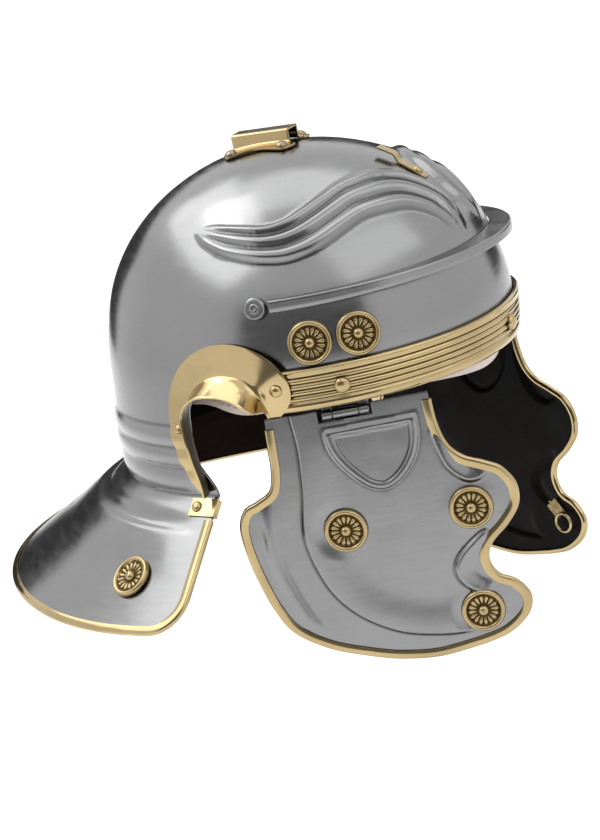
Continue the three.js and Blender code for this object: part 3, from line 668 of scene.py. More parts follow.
EAR_FRONT_TURN = -turn_behind(EAR_OPENING_MIDDLE - EAR_OPENING_HALF_WIDTH, 0)
EAR_BACK_TURN = -turn_behind(EAR_OPENING_MIDDLE + EAR_OPENING_HALF_WIDTH, 0)
FRONT_COLUMNS = 80
TEMPLE_COLUMNS = 42
TEMPLE_TURN = math.radians(70)
EAR_COLUMNS = 38
CORNER_COLUMNS = 12
BACK_COLUMNS = 54
CORNER_SHARE = GUARD_CORNER / (BOWL_HALF_WIDTH + GUARD_REACH_SIDE) / (math.pi - GUARD_EDGE_TURN)
SKULL_ROWS = [8, 10, 46, 9, 15]
SKULL_ROW_LIFTS = [math.radians(lift) for lift in (90, 58, 50, 28, 21)]
NAPE_ROWS = [2, 8, 8, 10]
GUARD_ROWS = 48


def rim_of_bowl(turn):
    side = abs(turn)
    if side <= EAR_FRONT_TURN or side >= EAR_BACK_TURN:
        return 0.0
    along = (side - EAR_FRONT_TURN) / (EAR_BACK_TURN - EAR_FRONT_TURN)
    return EAR_OPENING_HEIGHT * math.sqrt(max(0, 1 - (2 * along - 1) ** 2))


def back_shares():
    """Column shares from a side edge to the middle of the back, close together at the corner."""
    shares = []
    for i in range(CORNER_COLUMNS):
        shares.append(CORNER_SHARE * (1 - math.cos(math.pi / 2 * i / CORNER_COLUMNS)))
    rest = BACK_COLUMNS - CORNER_COLUMNS
    return shares + [mix(CORNER_SHARE, 1, i / rest) for i in range(rest + 1)]


BACK_SHARES = back_shares()


def side_turns():
    turns = [TEMPLE_TURN * i / FRONT_COLUMNS for i in range(FRONT_COLUMNS)]
    turns += [mix(TEMPLE_TURN, EAR_FRONT_TURN, i / TEMPLE_COLUMNS) for i in range(TEMPLE_COLUMNS)]
    for i in range(EAR_COLUMNS):
        along = (1 - math.cos(math.pi * i / EAR_COLUMNS)) / 2
        turns.append(mix(EAR_FRONT_TURN, EAR_BACK_TURN, along))
    return turns + [mix(EAR_BACK_TURN, math.pi, share) for share in BACK_SHARES]


def skull_lift(row, lowest):
    """The lift angle of a row of the skull, counted from the crown."""
    stops = SKULL_ROW_LIFTS + [lowest]
    for i, count in enumerate(SKULL_ROWS):
        if row <= count:
            return mix(stops[i], stops[i + 1], row / count)
        row -= count
    return lowest


def skull_skin():
    one_side = side_turns()
    turns = [-turn for turn in reversed(one_side[1:])] + one_side
    columns = len(turns) - 1
    rows = sum(SKULL_ROWS)

    def place(u, v):
        turn = turns[round(u * columns)]
        row = round(v * rows)
        if row == 0:
            return Vector((0, 0, BOWL_WIDEST_LEVEL + BOWL_RISE))
        lowest = math.asin((rim_of_bowl(turn) - BOWL_WIDEST_LEVEL) / BOWL_RISE)
        level = BOWL_WIDEST_LEVEL + BOWL_RISE * math.sin(skull_lift(row, lowest))
        point = bowl_point(turn, level)
        rise = brow_rise(point)
        return point + bowl_outward(turn, level) * rise if rise else point

    return bent_grid(columns, rows, place)


def flat_outward(turn):
    outward = Vector((math.sin(turn) / BOWL_HALF_WIDTH, -math.cos(turn) / BOWL_HALF_LENGTH, 0))
    return outward.normalized()


def on_guard(turn, along, out=0.0):
    """A point of the neck guard: along is the distance from the nape down its slope."""
    slope = mix(GUARD_SIDE_SLOPE, GUARD_BACK_SLOPE, math.cos(turn) ** 2)
    from_edge = smoothstep(abs(turn), GUARD_EDGE_TURN + 0.02, GUARD_EDGE_TURN + 0.2)
    step = GUARD_STEP_HEIGHT * from_edge * smoothstep(along, GUARD_STEP_AT - 4, GUARD_STEP_AT)
    rise = out + step * (1 - smoothstep(along, GUARD_STEP_AT, GUARD_STEP_AT + 30))
    point = bowl_point(turn, NAPE_FOOT)
    point += flat_outward(turn) * (along * math.cos(slope) + rise * math.sin(slope))
    point.z += rise * math.cos(slope) - along * math.sin(slope)
    return point


def guard_outward(turn, along):
    here = on_guard(turn, along)
    around = on_guard(turn + 0.01, along) - here
    down = on_guard(turn, along + 0.1) - here
    return down.cross(around).normalized()


def guard_edge_along(turn):
    from_back = (math.pi - abs(turn)) / (math.pi - GUARD_EDGE_TURN)
    reach = GUARD_REACH_BACK - (GUARD_REACH_BACK - GUARD_REACH_SIDE) * from_back ** 2
    arc = (abs(turn) - GUARD_EDGE_TURN) * (BOWL_HALF_WIDTH + GUARD_REACH_SIDE)
    into = clamp(1 - arc / GUARD_CORNER)
    return reach - GUARD_CORNER * (1 - math.sqrt(max(0, 1 - into * into)))


def guard_dents(turn, along):
    """The soft creases that run across the guard, in millimetres."""
    from_edge = smoothstep(abs(turn), GUARD_EDGE_TURN, GUARD_EDGE_TURN + 0.3)
    crease = 0.5 * hump(along, 10, 6) * from_edge
    return crease - 0.4 * hump(along, 17, 6) * from_edge


def nape_skin():
    levels = [0.0]
    for top, foot, count in zip([0] + NAPE_RIBS, NAPE_RIBS, NAPE_ROWS):
        levels += [mix(top, foot, (i + 1) / count) for i in range(count)]
    nape_rows = len(levels) - 1
    rows = nape_rows + GUARD_ROWS

    def place(u, v):
        column = round(u * 2 * BACK_COLUMNS)
        side = -1 if column < BACK_COLUMNS else 1
        share = BACK_SHARES[column if side < 0 else 2 * BACK_COLUMNS - column]
        row = round(v * rows)
        if row <= nape_rows:
            level = levels[row]
            forward = smoothstep(-level, 20, -NAPE_FOOT)
            edge = mix(EAR_BACK_TURN, GUARD_EDGE_TURN, forward)
            return bowl_point(side * mix(edge, math.pi, share), level)
        turn = side * mix(GUARD_EDGE_TURN, math.pi, share)
        along = (row - nape_rows) / GUARD_ROWS * guard_edge_along(turn)
        return on_guard(turn, along, guard_dents(turn, along))

    return bent_grid(2 * BACK_COLUMNS, rows, place)


skull = welded(joined([skull_skin(), nape_skin()]))
softened(skull, [v for v in skull.verts if v.co.z > BROW_FOOT * MM and v.co.y < BROW_REAR * MM])
face_away(skull, (0, 0, 20))


def shell_shade_and_residue(point):
    """Painted shade, with some polish residue, in the brow and in the grooves across the nape."""
    darkening = brow_shade_and_residue(point)
    if point.y > 20 and NAPE_FOOT - 1.5 < point.z < 0:
        darkening += 0.5 * sum(hump(point.z, level, 1.4) for level in NAPE_RIBS)
    return clamp(darkening)


# The darkening is painted groove shade, with some polish residue.
set_hollow(skull, shell_shade_and_residue)
finish_piece("skull_shell", skull, "helmet", "bowl_steel", [steel_bowl, shell_paint], ["skull"],
             wall=STEEL_WALL, smooth=65)


# ---------------------------------------------------------------- folded brass edging

EDGING_WALL = 0.7
EDGING_GAP = 0.5
EDGING_DEPTH = 4


def folded_outline(half_plate, depth_above=EDGING_DEPTH, depth_below=EDGING_DEPTH):
    """A strip folded round an edge: x runs inwards from the edge, y off the plate's middle."""
    inner = half_plate + EDGING_GAP
    outer = inner + EDGING_WALL
    middle = outer - EDGING_GAP - EDGING_WALL
    arc = [math.pi * i / 10 for i in range(11)]
    outline = [(middle - outer * math.sin(a), outer * math.cos(a)) for a in arc]
    outline += [(depth_below - 0.25, -outer), (depth_below, -outer + 0.2), (depth_below, -inner)]
    outline += [(middle - inner * math.sin(a), -inner * math.cos(a)) for a in arc]
    outline += [(depth_above, inner), (depth_above, outer - 0.35)]
    return outline + [(depth_above - 0.3, outer - 0.15)]


def edging(stations, outline):
    steps = len(stations) - 1

    def place(t, inset, off):
        here = round(t * steps)
        run = stations[min(steps, here + 1)][0] - stations[max(0, here - 1)][0]
        point, outward = stations[here]
        return point + run.cross(outward).normalized() * inset + outward * off

    return bent_bar(steps, outline, place)


def guard_edge_stations():
    def station(turn, along):
        return on_guard(turn, along, -STEEL_WALL / 2), guard_outward(turn, along)

    farthest = guard_edge_along(GUARD_EDGE_TURN)
    side = [mix(0.25, 1, i / 26) * farthest for i in range(27)]
    turns = [mix(GUARD_EDGE_TURN, math.pi, share) for share in BACK_SHARES[1:]]
    stations = [station(-GUARD_EDGE_TURN, along) for along in side]
    stations += [station(-turn, guard_edge_along(turn)) for turn in turns]
    stations += [station(turn, guard_edge_along(turn)) for turn in reversed(turns[:-1])]
    return stations + [station(GUARD_EDGE_TURN, along) for along in reversed(side)]


finish_piece("neck_edging", edging(guard_edge_stations(), folded_outline(STEEL_WALL / 2)),
             "helmet", "edging_brass", [brass_edging], ["neck_trim"])


def neck_clip():
    """The small clip folded round the top of the guard's side edge."""
    def place(t, inset, off):
        along = mix(2.5, 13, t)
        turn = -GUARD_EDGE_TURN - inset / (BOWL_HALF_WIDTH * NAPE_SPREAD + along / 2)
        return on_guard(turn, along, off - STEEL_WALL / 2)

    inner = STEEL_WALL / 2 + EDGING_GAP
    outer = inner + EDGING_WALL
    outline = [(-1.4, 0.9 * outer), (-1.4, -0.9 * outer), (-1.1, -outer), (6.8, -outer),
               (7, -outer + 0.2), (7, -inner), (-0.5, -inner), (-0.5, inner), (14, inner),
               (14, outer - 0.2), (13.8, outer), (-1.1, outer)]
    return bent_bar(14, outline, place)


finish_pair("neck_clip", neck_clip(), "fittings_brass", [brass_fitting], "neck_clip")


# ---------------------------------------------------------------- brow band

BAND_HEIGHT = 23
BAND_GAP = 0.7
BAND_END_TURN = math.radians(80)
BAND_RIDGES = 4
BAND_RIDGE_PITCH = 3.2
BAND_RIDGES_FROM = 5.6
BAND_STAND_OFF = 2.15
BAND_ROWS = 92


def band_face(level):
    """How far the band's face stands off the bowl at a level."""
    into = (level - BAND_RIDGES_FROM) / BAND_RIDGE_PITCH
    if 0 <= into <= BAND_RIDGES:
        return BAND_STAND_OFF + 1.2 * math.sin(math.pi * (into % 1)) ** 0.75
    if level < BAND_RIDGES_FROM:
        return BAND_STAND_OFF + 1.4 * math.sin(math.pi * clamp(level / 5.0)) ** 0.55
    top = clamp((level - 18.4) / 4.6)
    return BAND_STAND_OFF + 0.85 * smoothstep(top, 0, 0.25) + 0.6 * hump(top, 0.8, 0.22)


def band_hollow(level):
    into = (level - BAND_RIDGES_FROM) / BAND_RIDGE_PITCH
    near = abs(into - round(into)) * BAND_RIDGE_PITCH
    groove = clamp(1 - near / 0.55) if -0.2 <= into <= BAND_RIDGES + 0.2 else 0
    return 0.95 * groove


def brow_band():
    levels = [i / BAND_ROWS * BAND_HEIGHT for i in range(BAND_ROWS + 1)]
    face = [(band_face(level), level) for level in levels]
    outline = face + [(BAND_GAP, BAND_HEIGHT), (BAND_GAP, BAND_HEIGHT / 2), (BAND_GAP, 0)]
    mesh = bent_bar(200, outline, lambda t, out, level: on_bowl(
        mix(-BAND_END_TURN, BAND_END_TURN, t), level, out))
    return set_hollow(mesh, lambda point: band_hollow(point.z))


finish_piece("brow_band_ridged", brow_band(), "helmet", "band_brass", [brass_band], ["brow_band"],
             smooth=65)


# ---------------------------------------------------------------- brow peak and its round ends

PEAK_END_TURN = math.radians(82)
PEAK_SIDE_LEVEL = 57
PEAK_FRONT_LEVEL = 62.5
PEAK_DISC_RADIUS = 6
PEAK_GAP = 0.6
PEAK_LIP = 1.6


def brow_peak():
    """An angled bar: a ledge that widens to the front, with a lip turned down along its edge."""
    end = PEAK_END_TURN - PEAK_DISC_RADIUS / BOWL_HALF_WIDTH - 0.01
    # Across: 0 is the bowl, 1 the inner face of the lip and 2 its outer face.  Down: the same.
    outline = [(0, 0.9), (0, 0.1), (0.05, 0)]
    outline += [(mix(0, 1, i / 6), 0) for i in range(1, 7)]
    outline += [(1.3, 0), (1.65, 0.08), (1.9, 0.3), (2, 0.7), (2, 1), (2, 1.5), (2, 1.92),
                (1.85, 2), (1.15, 2), (1, 1.92), (1, 1.5), (1, 1.12), (0.9, 1)]
    outline += [(mix(0.9, 0.05, i / 5), 1) for i in range(1, 6)]

    def spread(value, stops):
        whole = min(int(value), 1)
        return mix(stops[whole], stops[whole + 1], value - whole)

    def place(t, across, down):
        turn = mix(-end, end, t)
        front = math.cos(turn) ** 2
        top = mix(PEAK_SIDE_LEVEL + 3.7, PEAK_FRONT_LEVEL, front)
        reach = 3.2 + 10.8 * front
        lip = mix(6.5, 5, front)
        out = spread(across, [PEAK_GAP, reach - PEAK_LIP, reach])
        drop = spread(down, [0, PEAK_LIP, lip])
        wall = clamp(across)
        point = bowl_point(turn, mix(top - drop, top, wall)) + flat_outward(turn) * out
        point.z = top - drop
        return point

    return bent_bar(180, outline, place)


finish_piece("brow_peak_bar", brow_peak(), "helmet", "fittings_steel", [steel_fitting],
             ["brow_peak"])


def peak_end():
    profile = [(0, 3.1), (0.7, 3.15), (0.9, 3.45), (1.7, 3.6), (2.4, 3.5), (2.6, 3.3), (4.4, 3.35),
               (5.0, 3.3), (5.6, 3.0), (6, 2.4), (6, 0), (0, 0)]
    spot = on_bowl(-PEAK_END_TURN, PEAK_SIDE_LEVEL, PEAK_GAP)
    return turned_piece(profile, 48, spot, bowl_outward(-PEAK_END_TURN, PEAK_SIDE_LEVEL))


finish_pair("peak_end_disc", peak_end(), "fittings_steel", [steel_fitting], "peak_end")


# ---------------------------------------------------------------- ear guards

EAR_LEDGE = 13
EAR_GAP = 0.6
EAR_WALL = 1.2
EAR_TAB_LIFT = 3.4
EAR_OUTER = smooth_line([
    (-19.5, 0.4), (-26.6, 8), (-27.6, 18.5), (-21, 30), (-7, 38.5), (9, 41),
    (25, 36.8), (38, 26.5), (46, 12.5), (48.4, -3), (46.4, -18), (42.6, -30), (36.6, -40)])
EAR_FOLD = smooth_line([
    (-12.9, 0.4), (-12.8, 5), (-12, 10), (-8, 17), (-1, 22.8), (9, 24.8),
    (20, 23.2), (29.5, 16.8), (34.5, 7.5), (35.2, -3), (34.2, -18), (32.4, -30), (31.4, -40)])
EAR_FREE = smooth_line([
    (-12.5, 0.4), (-11.6, 4.6), (-9, 8.8), (-4, 12.2), (2, 15), (10, 16.7),
    (19.5, 16.3), (26.2, 11.8), (29, 5.5), (29.3, -3), (28.6, -17), (28.4, -30), (29, -40)])


def ear_surface(share, across):
    fold = EAR_FOLD(share)
    lift = EAR_GAP + EAR_WALL + EAR_TAB_LIFT * (1 - smoothstep(share, 0.2, 0.4))
    if across < 0.5:
        place = EAR_OUTER(share).lerp(fold, across / 0.5)
        return on_bowl_side(place.x, place.y, lift)
    ledge = (across - 0.5) / 0.5 * smoothstep(share, 0.02, 0.2)
    place = fold.lerp(EAR_FREE(share), ledge)
    reach = EAR_LEDGE * (1 - 0.4 * smoothstep(share, 0.75, 1))
    return on_bowl_side(place.x, place.y, lift + reach * ledge ** 1.4 + across - 0.5)


def ear_guard():
    mesh = bent_grid(150, 26, ear_surface)
    softened(mesh, [v for v in mesh.verts if not v.is_boundary])
    face_away(mesh, (0, 11, 10))

    # A painted dark reflection: a round brown patch near the front of the guard.
    def dark_reflection_patch(point):
        near = Vector((abs(point.x), point.y, point.z)) - Vector((108, -4, 12))
        return 0.62 * clamp(1 - near.length / 9)

    return set_hollow(mesh, dark_reflection_patch)


# The ear guards' inner faces take the darker brass: painted shade.
finish_pair("ear_guard", ear_guard(), "ear_guard_brass", [brass_ear, brass_dull_shaded], "ear_guard",
            wall=EAR_WALL, edge=0.3)


# ---------------------------------------------------------------- rosettes and rivets

PETALS = 16
ROSETTE_SIDES = PETALS * 8
FIELD_LEVEL = 0.75
ROSETTE_PROFILE = [
    (0, 3.35), (0.35, 3.4), (0.6, 3.75), (1.1, 3.7), (1.7, 3.45), (2.3, 2.95), (2.8, 2.2),
    (3.05, 1.4), (3.2, 0.8), (3.6, 0.75), (4.1, 0.75), (4.7, 0.75), (5.3, 0.75), (5.9, 0.75), (6.5, 0.75),
    (7.0, 0.75), (7.5, 0.75), (7.9, 0.75), (8.2, 0.75), (8.35, 1.2), (8.6, 1.55), (8.85, 1.3),
    (9.0, 1.15), (9.2, 1.6), (9.6, 2.15), (10.2, 2.5), (10.8, 2.55), (11.3, 2.3), (11.7, 1.85),
    (12.0, 1.1), (12.1, 0.3), (12.1, 0), (6, 0), (0, 0)]


def petal_rise(radius, angle):
    """A teardrop petal, narrow at the middle of the rosette and round at its outer end."""
    sector = TAU / PETALS
    aside = abs((angle / sector + 0.5) % 1 - 0.5) * sector * radius
    along = clamp((radius - 3.9) / 2.9)
    half = mix(0.2, 1.2, along ** 0.8)
    if radius > 7.0:
        half *= math.sqrt(max(0, 1 - ((radius - 7.0) / 1.25) ** 2))
    if half < 0.05 or radius < 3.9 or aside > half:
        return 0.0
    dimple = 0.35 * clamp(1 - math.hypot(aside, radius - 7.1) / 0.6)
    return 1.05 * math.sqrt(1 - (aside / half) ** 2) * mix(0.6, 1, along) - dimple


def press_petals(mesh):
    layer = mesh.verts.layers.float.new("hollow")
    for point in mesh.verts:
        radius = math.hypot(point.co.x, point.co.y) / MM
        height = point.co.z / MM
        if 3.1 < radius < 8.3 and abs(height - FIELD_LEVEL) < 0.1:
            rise = petal_rise(radius, math.atan2(point.co.y, point.co.x))
            point.co.z += rise * MM
            point[layer] = 0.95 - 0.9 * clamp(rise / 0.8)
        elif 8.8 < radius < 9.2:
            point[layer] = 0.8


def rosette(spot, outward):
    return turned_piece(ROSETTE_PROFILE, ROSETTE_SIDES, spot, outward, press_petals)


def rivet(spot, outward, radius):
    """A domed rivet head with a flattened crown and a rolled foot."""
    height = radius * 0.7
    profile = [(radius * math.sin(a), height * (0.12 + 0.88 * math.cos(a)))
               for a in [math.pi / 2 * i / 9 for i in range(10)]]
    profile += [(radius, 0), (0, 0)]
    return turned_piece(profile, 32, spot, outward)


for number, degrees in enumerate((56.4, 69.2), start=1):
    turn = -math.radians(degrees)
    stud = rosette(on_bowl(turn, 36, 0.5), bowl_outward(turn, 36))
    finish_pair(f"bowl_rosette_disc_{number}", stud, "rosette_brass", [brass_rosette],
                f"bowl_rosette_{number}")

NECK_ROSETTE_TURN = -math.radians(117.5)
NECK_ROSETTE_ALONG = 53
neck_stud = rosette(on_guard(NECK_ROSETTE_TURN, NECK_ROSETTE_ALONG, 0.9),
                    guard_outward(NECK_ROSETTE_TURN, NECK_ROSETTE_ALONG))
finish_pair("neck_rosette_disc", neck_stud, "rosette_brass", [brass_rosette], "neck_rosette")


def bowl_rivet(turn, level, out, radius):
    return rivet(on_bowl(turn, level, out), bowl_outward(turn, level), radius)


BAND_RIVET_TURN = -math.radians(63.2)
BAND_RIVET_OUT = 3.4
BAND_RIVET_RADIUS = 4.4
side_rivet, front_rivet = [
    bowl_rivet(turn, BAND_HEIGHT / 2, BAND_RIVET_OUT, BAND_RIVET_RADIUS)
    for turn in (BAND_RIVET_TURN, 0)]
finish_pair("band_rivet_head", side_rivet, "fittings_brass", [brass_fitting], "band_rivet")
finish_piece("band_rivet_head_front", front_rivet, "helmet", "fittings_brass", [brass_fitting],
             ["band_rivet_front"])
tab_rivet = bowl_rivet(turn_behind(-20.7, 14.5), 14.5, EAR_GAP + EAR_WALL + EAR_TAB_LIFT + 0.1, 3.4)
finish_pair("ear_rivet_head_front", tab_rivet, "fittings_brass", [brass_fitting], "ear_rivet_front")
rear_rivet = bowl_rivet(turn_behind(42.5, -4.5), -4.5, EAR_GAP + EAR_WALL + 0.1, 2.6)
finish_pair("ear_rivet_head_back", rear_rivet, "fittings_brass", [brass_fitting], "ear_rivet_back")
clip_turn = -GUARD_EDGE_TURN - 9.5 / (BOWL_HALF_WIDTH * NAPE_SPREAD)
clip_rivet = rivet(on_guard(clip_turn, 7.5, EDGING_GAP + EDGING_WALL + 0.1),
                   guard_outward(clip_turn, 7.5), 3)
finish_pair("clip_rivet_head", clip_rivet, "fittings_brass", [brass_fitting], "clip_rivet")


# ---------------------------------------------------------------- crest box and crest hook

CREST_BOX_LENGTH = 35
CREST_BOX_MIDDLE = 5.5
CREST_BOX_TOP = 134.3
CREST_FLANGE_LENGTH = 44
CREST_LIFT = 1.7
CREST_RIVET_X = -12.7
HOOK_LIFT = 1.8
HOOK_RIVET_Y = -81


def crown_level(x, y):
    return BOWL_WIDEST_LEVEL + BOWL_RISE * math.sqrt(
        1 - (x / BOWL_HALF_WIDTH) ** 2 - (y / BOWL_HALF_LENGTH) ** 2)


def crown_outward(x, y):
    rise = (crown_level(x, y) - BOWL_WIDEST_LEVEL) / BOWL_RISE ** 2
    return Vector((x / BOWL_HALF_WIDTH ** 2, y / BOWL_HALF_LENGTH ** 2, rise)).normalized()


def crest_section():
    """The right half of the channel's outer skin, from the flange's edge up to the middle of its
    top: (distance from the middle, height share)."""
    section = [(mix(17, 9.2, i / 6), 0.0) for i in range(7)]
    section += [(8.2, 0.0), (7.5, 0.02), (6.9, 0.06), (6.6, 0.14)]
    section += [(6.5, 0.14 + 0.7 * i / 6) for i in range(1, 7)]
    for i in range(1, 6):
        angle = math.pi / 2 * i / 5
        section.append((6.5 - 1.6 * (1 - math.cos(angle)), 0.84 + 0.16 * math.sin(angle)))
    return section + [(3.4, 1.0), (1.7, 1.0), (0, 1.0)]


def crest_box():
    half = crest_section()
    section = [(-x, rise) for x, rise in half] + half[-2::-1]
    count = len(section) - 1

    def place(u, v):
        x, rise = section[round(v * count)]
        spread = smoothstep(abs(x), 6.5, 8.6)
        rounding = 9 * clamp((abs(x) - 9) / 8) ** 2.2
        length = mix(CREST_BOX_LENGTH, CREST_FLANGE_LENGTH, spread) - rounding
        y = CREST_BOX_MIDDLE + (u - 0.5) * length
        if abs(x) > 8:
            waist = 1 - 0.34 * hump(u, 0.5, 0.5)
            x = math.copysign(8 + (abs(x) - 8) * waist, x)
        foot = crown_level(x, y) + CREST_LIFT
        return Vector((x, y, mix(foot, CREST_BOX_TOP, rise)))

    return face_away(bent_grid(36, count, place), (0, 5, 60))


finish_piece("crest_channel", crest_box(), "helmet", "fittings_brass", [brass_fitting],
             ["crest_box"], wall=1.1, edge=0.25)
for where, y in (("front", -9.8), ("back", 22)):
    spot = (CREST_RIVET_X, y, crown_level(CREST_RIVET_X, y) + CREST_LIFT)
    finish_pair(f"crest_rivet_head_{where}", rivet(spot, crown_outward(CREST_RIVET_X, y), 3.4),
                "fittings_brass", [brass_dark], f"crest_rivet_{where}")


def crest_hook():
    """A strip along the middle of the bowl whose back end stands up as a tongue."""
    def place(u, v):
        y = mix(-86, -61, u)
        end = math.sqrt(max(0, 1 - clamp(1 - u * 12) ** 2))
        x = (v - 0.5) * 6 * mix(0.55, 1, end)
        lift = 3.5 * smoothstep(y, -72.6, -69.6)
        return Vector((x, y, crown_level(x, y) + HOOK_LIFT + lift))

    return face_away(bent_grid(50, 8, place), (0, -60, 40))


finish_piece("crest_hook_strip", crest_hook(), "helmet", "fittings_brass", [brass_fitting],
             ["crest_hook"], wall=1.2, edge=0.3)
hook_rivet = rivet((0, HOOK_RIVET_Y, crown_level(0, HOOK_RIVET_Y) + HOOK_LIFT),
                   crown_outward(0, HOOK_RIVET_Y), 2.8)
finish_piece("hook_rivet_head", hook_rivet, "helmet", "fittings_brass", [brass_fitting],
             ["hook_rivet"])


# ---------------------------------------------------------------- leather liner

LINER_TOP = 28
LINER_GAP = 8.2
STITCHES = 150


def liner_foot(turn):
    side = mix(-4, 7, smoothstep(math.degrees(abs(turn)), 86, 106))
    return mix(side, -13, max(0, math.cos(turn)) ** 6)


def on_liner(turn, level, out=0.0):
    closer = 4.5 * max(0, math.cos(turn)) ** 3
    return on_bowl(turn, level, out + closer - STEEL_WALL - LINER_GAP)


def liner_band():
    """A leather band with a folded hem at its foot and soft creases."""
    end = math.pi - 0.02

    def place(u, v):
        turn = mix(-end, end, u)
        level = mix(LINER_TOP, liner_foot(turn), v)
        creases = 0.35 * math.sin(turn * 17) * math.sin(math.pi * v)
        hem = 0.55 * smoothstep(v, 0.8, 0.84) - 0.3 * hump(v, 0.82, 0.03)
        return on_liner(turn, level, creases + hem - 0.6)

    return face_away(bent_grid(260, 30, place), (0, 0, 10))


def liner_stitches():
    """Short stitches along the top of the hem."""
    stitches = []
    for i in range(STITCHES):
        turn = mix(-math.pi + 0.05, math.pi - 0.05, i / (STITCHES - 1))
        level = mix(LINER_TOP, liner_foot(turn), 0.87)
        stitch = plate((2.4, 0.5, 0.7), (0, 0, 0), 0.15, 1)
        outward = bowl_outward(turn, level)
        run = Vector((0, 0, 1)).cross(outward).normalized()
        spot = on_liner(turn, level, 0.1) * MM
        turned = Matrix((run, outward, run.cross(outward))).transposed().to_4x4()
        stitches.append(moved(stitch, Matrix.Translation(spot) @ turned))
    return joined(stitches)


finish_piece("liner_band", liner_band(), "helmet", "liner", [leather], ["liner"],
             wall=1.3, edge=0.3)
finish_piece("liner_stitches", liner_stitches(), "helmet", "liner", [thread], [])


# ---------------------------------------------------------------- cheek guards

CHEEK_WALL = 1.2
CHEEK_TOP = -3.5
HINGE_BACK = -37
HINGE_FRONT = -61
HINGE_LEVEL = -6.5
NOTCH_FRONT = -62.3
NOTCH_BACK = -34.9
NOTCH_DEPTH = 6.5
PIN_RADIUS = 1.1
BORE_RADIUS = PIN_RADIUS + 0.3
BARREL_RADIUS = 2.6
LEAF_THICKNESS = 1.2
KNUCKLE_SPLIT = 7
LEFT_SWING = math.radians(-3.5)
CHEEK_ROSETTES = [(-37.5, -71), (-101.5, -70.4), (-97.5, -129)]


def cheek_half_gap(behind, level):
    back = (behind + 45) / 50
    up = (level + 80) / 50
    return 86.8 + 17.2 * back - 1.2 * back * back - 0.4 * up - 0.6 * up * up


def cheek_outward(behind, level):
    small = 0.1
    back = (cheek_half_gap(behind + small, level) - cheek_half_gap(behind, level)) / small
    up = (cheek_half_gap(behind, level + small) - cheek_half_gap(behind, level)) / small
    return Vector((-1, -back, -up)).normalized()


def on_cheek(behind, level, out=0.0):
    point = Vector((-cheek_half_gap(behind, level), behind, level))
    return point + cheek_outward(behind, level) * out


CHEEK_FRONT = smooth_line([
    (-90.8, CHEEK_TOP), (-91.6, -20), (-94.7, -33), (-101, -41.5), (-111, -47), (-119.5, -52.5),
    (-124.5, -62), (-124, -73), (-117, -83), (-108, -91.5), (-104.7, -101), (-108, -110.5),
    (-116.5, -116.5), (-121.7, -126), (-118.5, -136), (-108, -144.3), (-95, -148)])
CHEEK_BACK = smooth_line([
    (-7.5, CHEEK_TOP), (-7, -20), (-6.4, -32), (-3.5, -43), (4.7, -48.3), (12, -52),
    (15.9, -62), (14.9, -78.5), (11.6, -94.7), (7.2, -110), (-0.5, -124.5), (-17.5, -136.7),
    (-38, -144.7)])
CHEEK_FOOT = smooth_line([(-95, -148), (-72, -150.8), (-52, -148.6), (-38, -144.7)])


def cheek_place(u, v):
    """A place on the guard between its four edges: u from front to back, v from top to foot."""
    front, back, foot = CHEEK_FRONT(v), CHEEK_BACK(v), CHEEK_FOOT(u)
    top = Vector((mix(-90.8, -7.5, u), CHEEK_TOP))
    top_line = CHEEK_FRONT(0).lerp(CHEEK_BACK(0), u)
    foot_line = CHEEK_FRONT(1).lerp(CHEEK_BACK(1), u)
    return front.lerp(back, u) + top.lerp(foot, v) - top_line.lerp(foot_line, v)


# Shapes pressed into the guard, as distances behind the origin and levels.
SHIELD = flat_line([
    (-83.9, -13.2), (-83.7, -24), (-81.4, -34.2), (-75.6, -43.8), (-67.8, -50.6), (-60.3, -52.6),
    (-52.5, -49.4), (-45, -41.5), (-39.3, -33), (-36, -24), (-35.2, -13.9)], 240, closed=True)
STEP_LINE = flat_line([
    (-21.5, 4), (-21.5, -5.9), (-22.5, -22.9), (-20.9, -45.3), (-17, -73.3), (-23.3, -100.6),
    (-35.5, -118.8), (-53.9, -131.8), (-73.6, -137.4), (-88.9, -138.7), (-98, -138.5)], 500)
REAR_CREASE = flat_line([
    (2, -44), (1.7, -52.7), (0.7, -87.7), (-8.9, -118.9), (-16, -128)], 200)
CRESCENTS = [
    flat_line([(-89.5, -24), (-90.8, -35.1), (-94, -46), (-100.5, -53.5), (-107, -55),
               (-113, -52)], 150),
    flat_line([(-107, -85), (-102, -88), (-92.4, -96.5), (-88.9, -104.5), (-91.2, -112),
               (-97.7, -118), (-104, -120)], 150)]
BOSS_RADIUS = 19


def cheek_relief(spot):
    """How far the pressed shapes stand out at a place on the guard, in millimetres."""
    rise = 0.0
    if -87 < spot.x < -32 and -55 < spot.y < -10 and within(SHIELD[0], spot):
        inside = abs(from_line(SHIELD, spot)[0])
        rise += 1.9 * smoothstep(inside, 0, 2.4) - 1.1 * smoothstep(inside, 3.6, 5.4)
    away, share = from_line(STEP_LINE, spot)
    clear = 1.0
    for place, start, end in zip(CHEEK_ROSETTES, (8, 11, 11), (19, 17, 17)):
        clear *= smoothstep((spot - Vector(place)).length, start, end)
    fade = clear * (1 - smoothstep(share, 0.9, 1)) * smoothstep(share, 0, 0.08)
    rise += 1.9 * fade * smoothstep(-away, -2.6, 0) * (1 - smoothstep(-away, 0, 22))
    crease, share = from_line(REAR_CREASE, spot)
    fade = smoothstep(share, 0.12, 0.4) * (1 - smoothstep(share, 0.7, 1))
    rise += 1.5 * hump(crease, 0, 5.5) * fade
    for crescent in CRESCENTS:
        away, share = from_line(crescent, spot)
        crisp = (1 - smoothstep(away, -0.5, 2.4)) * (1 - smoothstep(-away, 0, 9))
        rise += 2.5 * crisp * math.sin(math.pi * clamp(share)) ** 0.5
    for behind, level in CHEEK_ROSETTES[1:]:
        rise += 0.6 * hump((spot - Vector((behind, level))).length, 0, BOSS_RADIUS)
    return rise


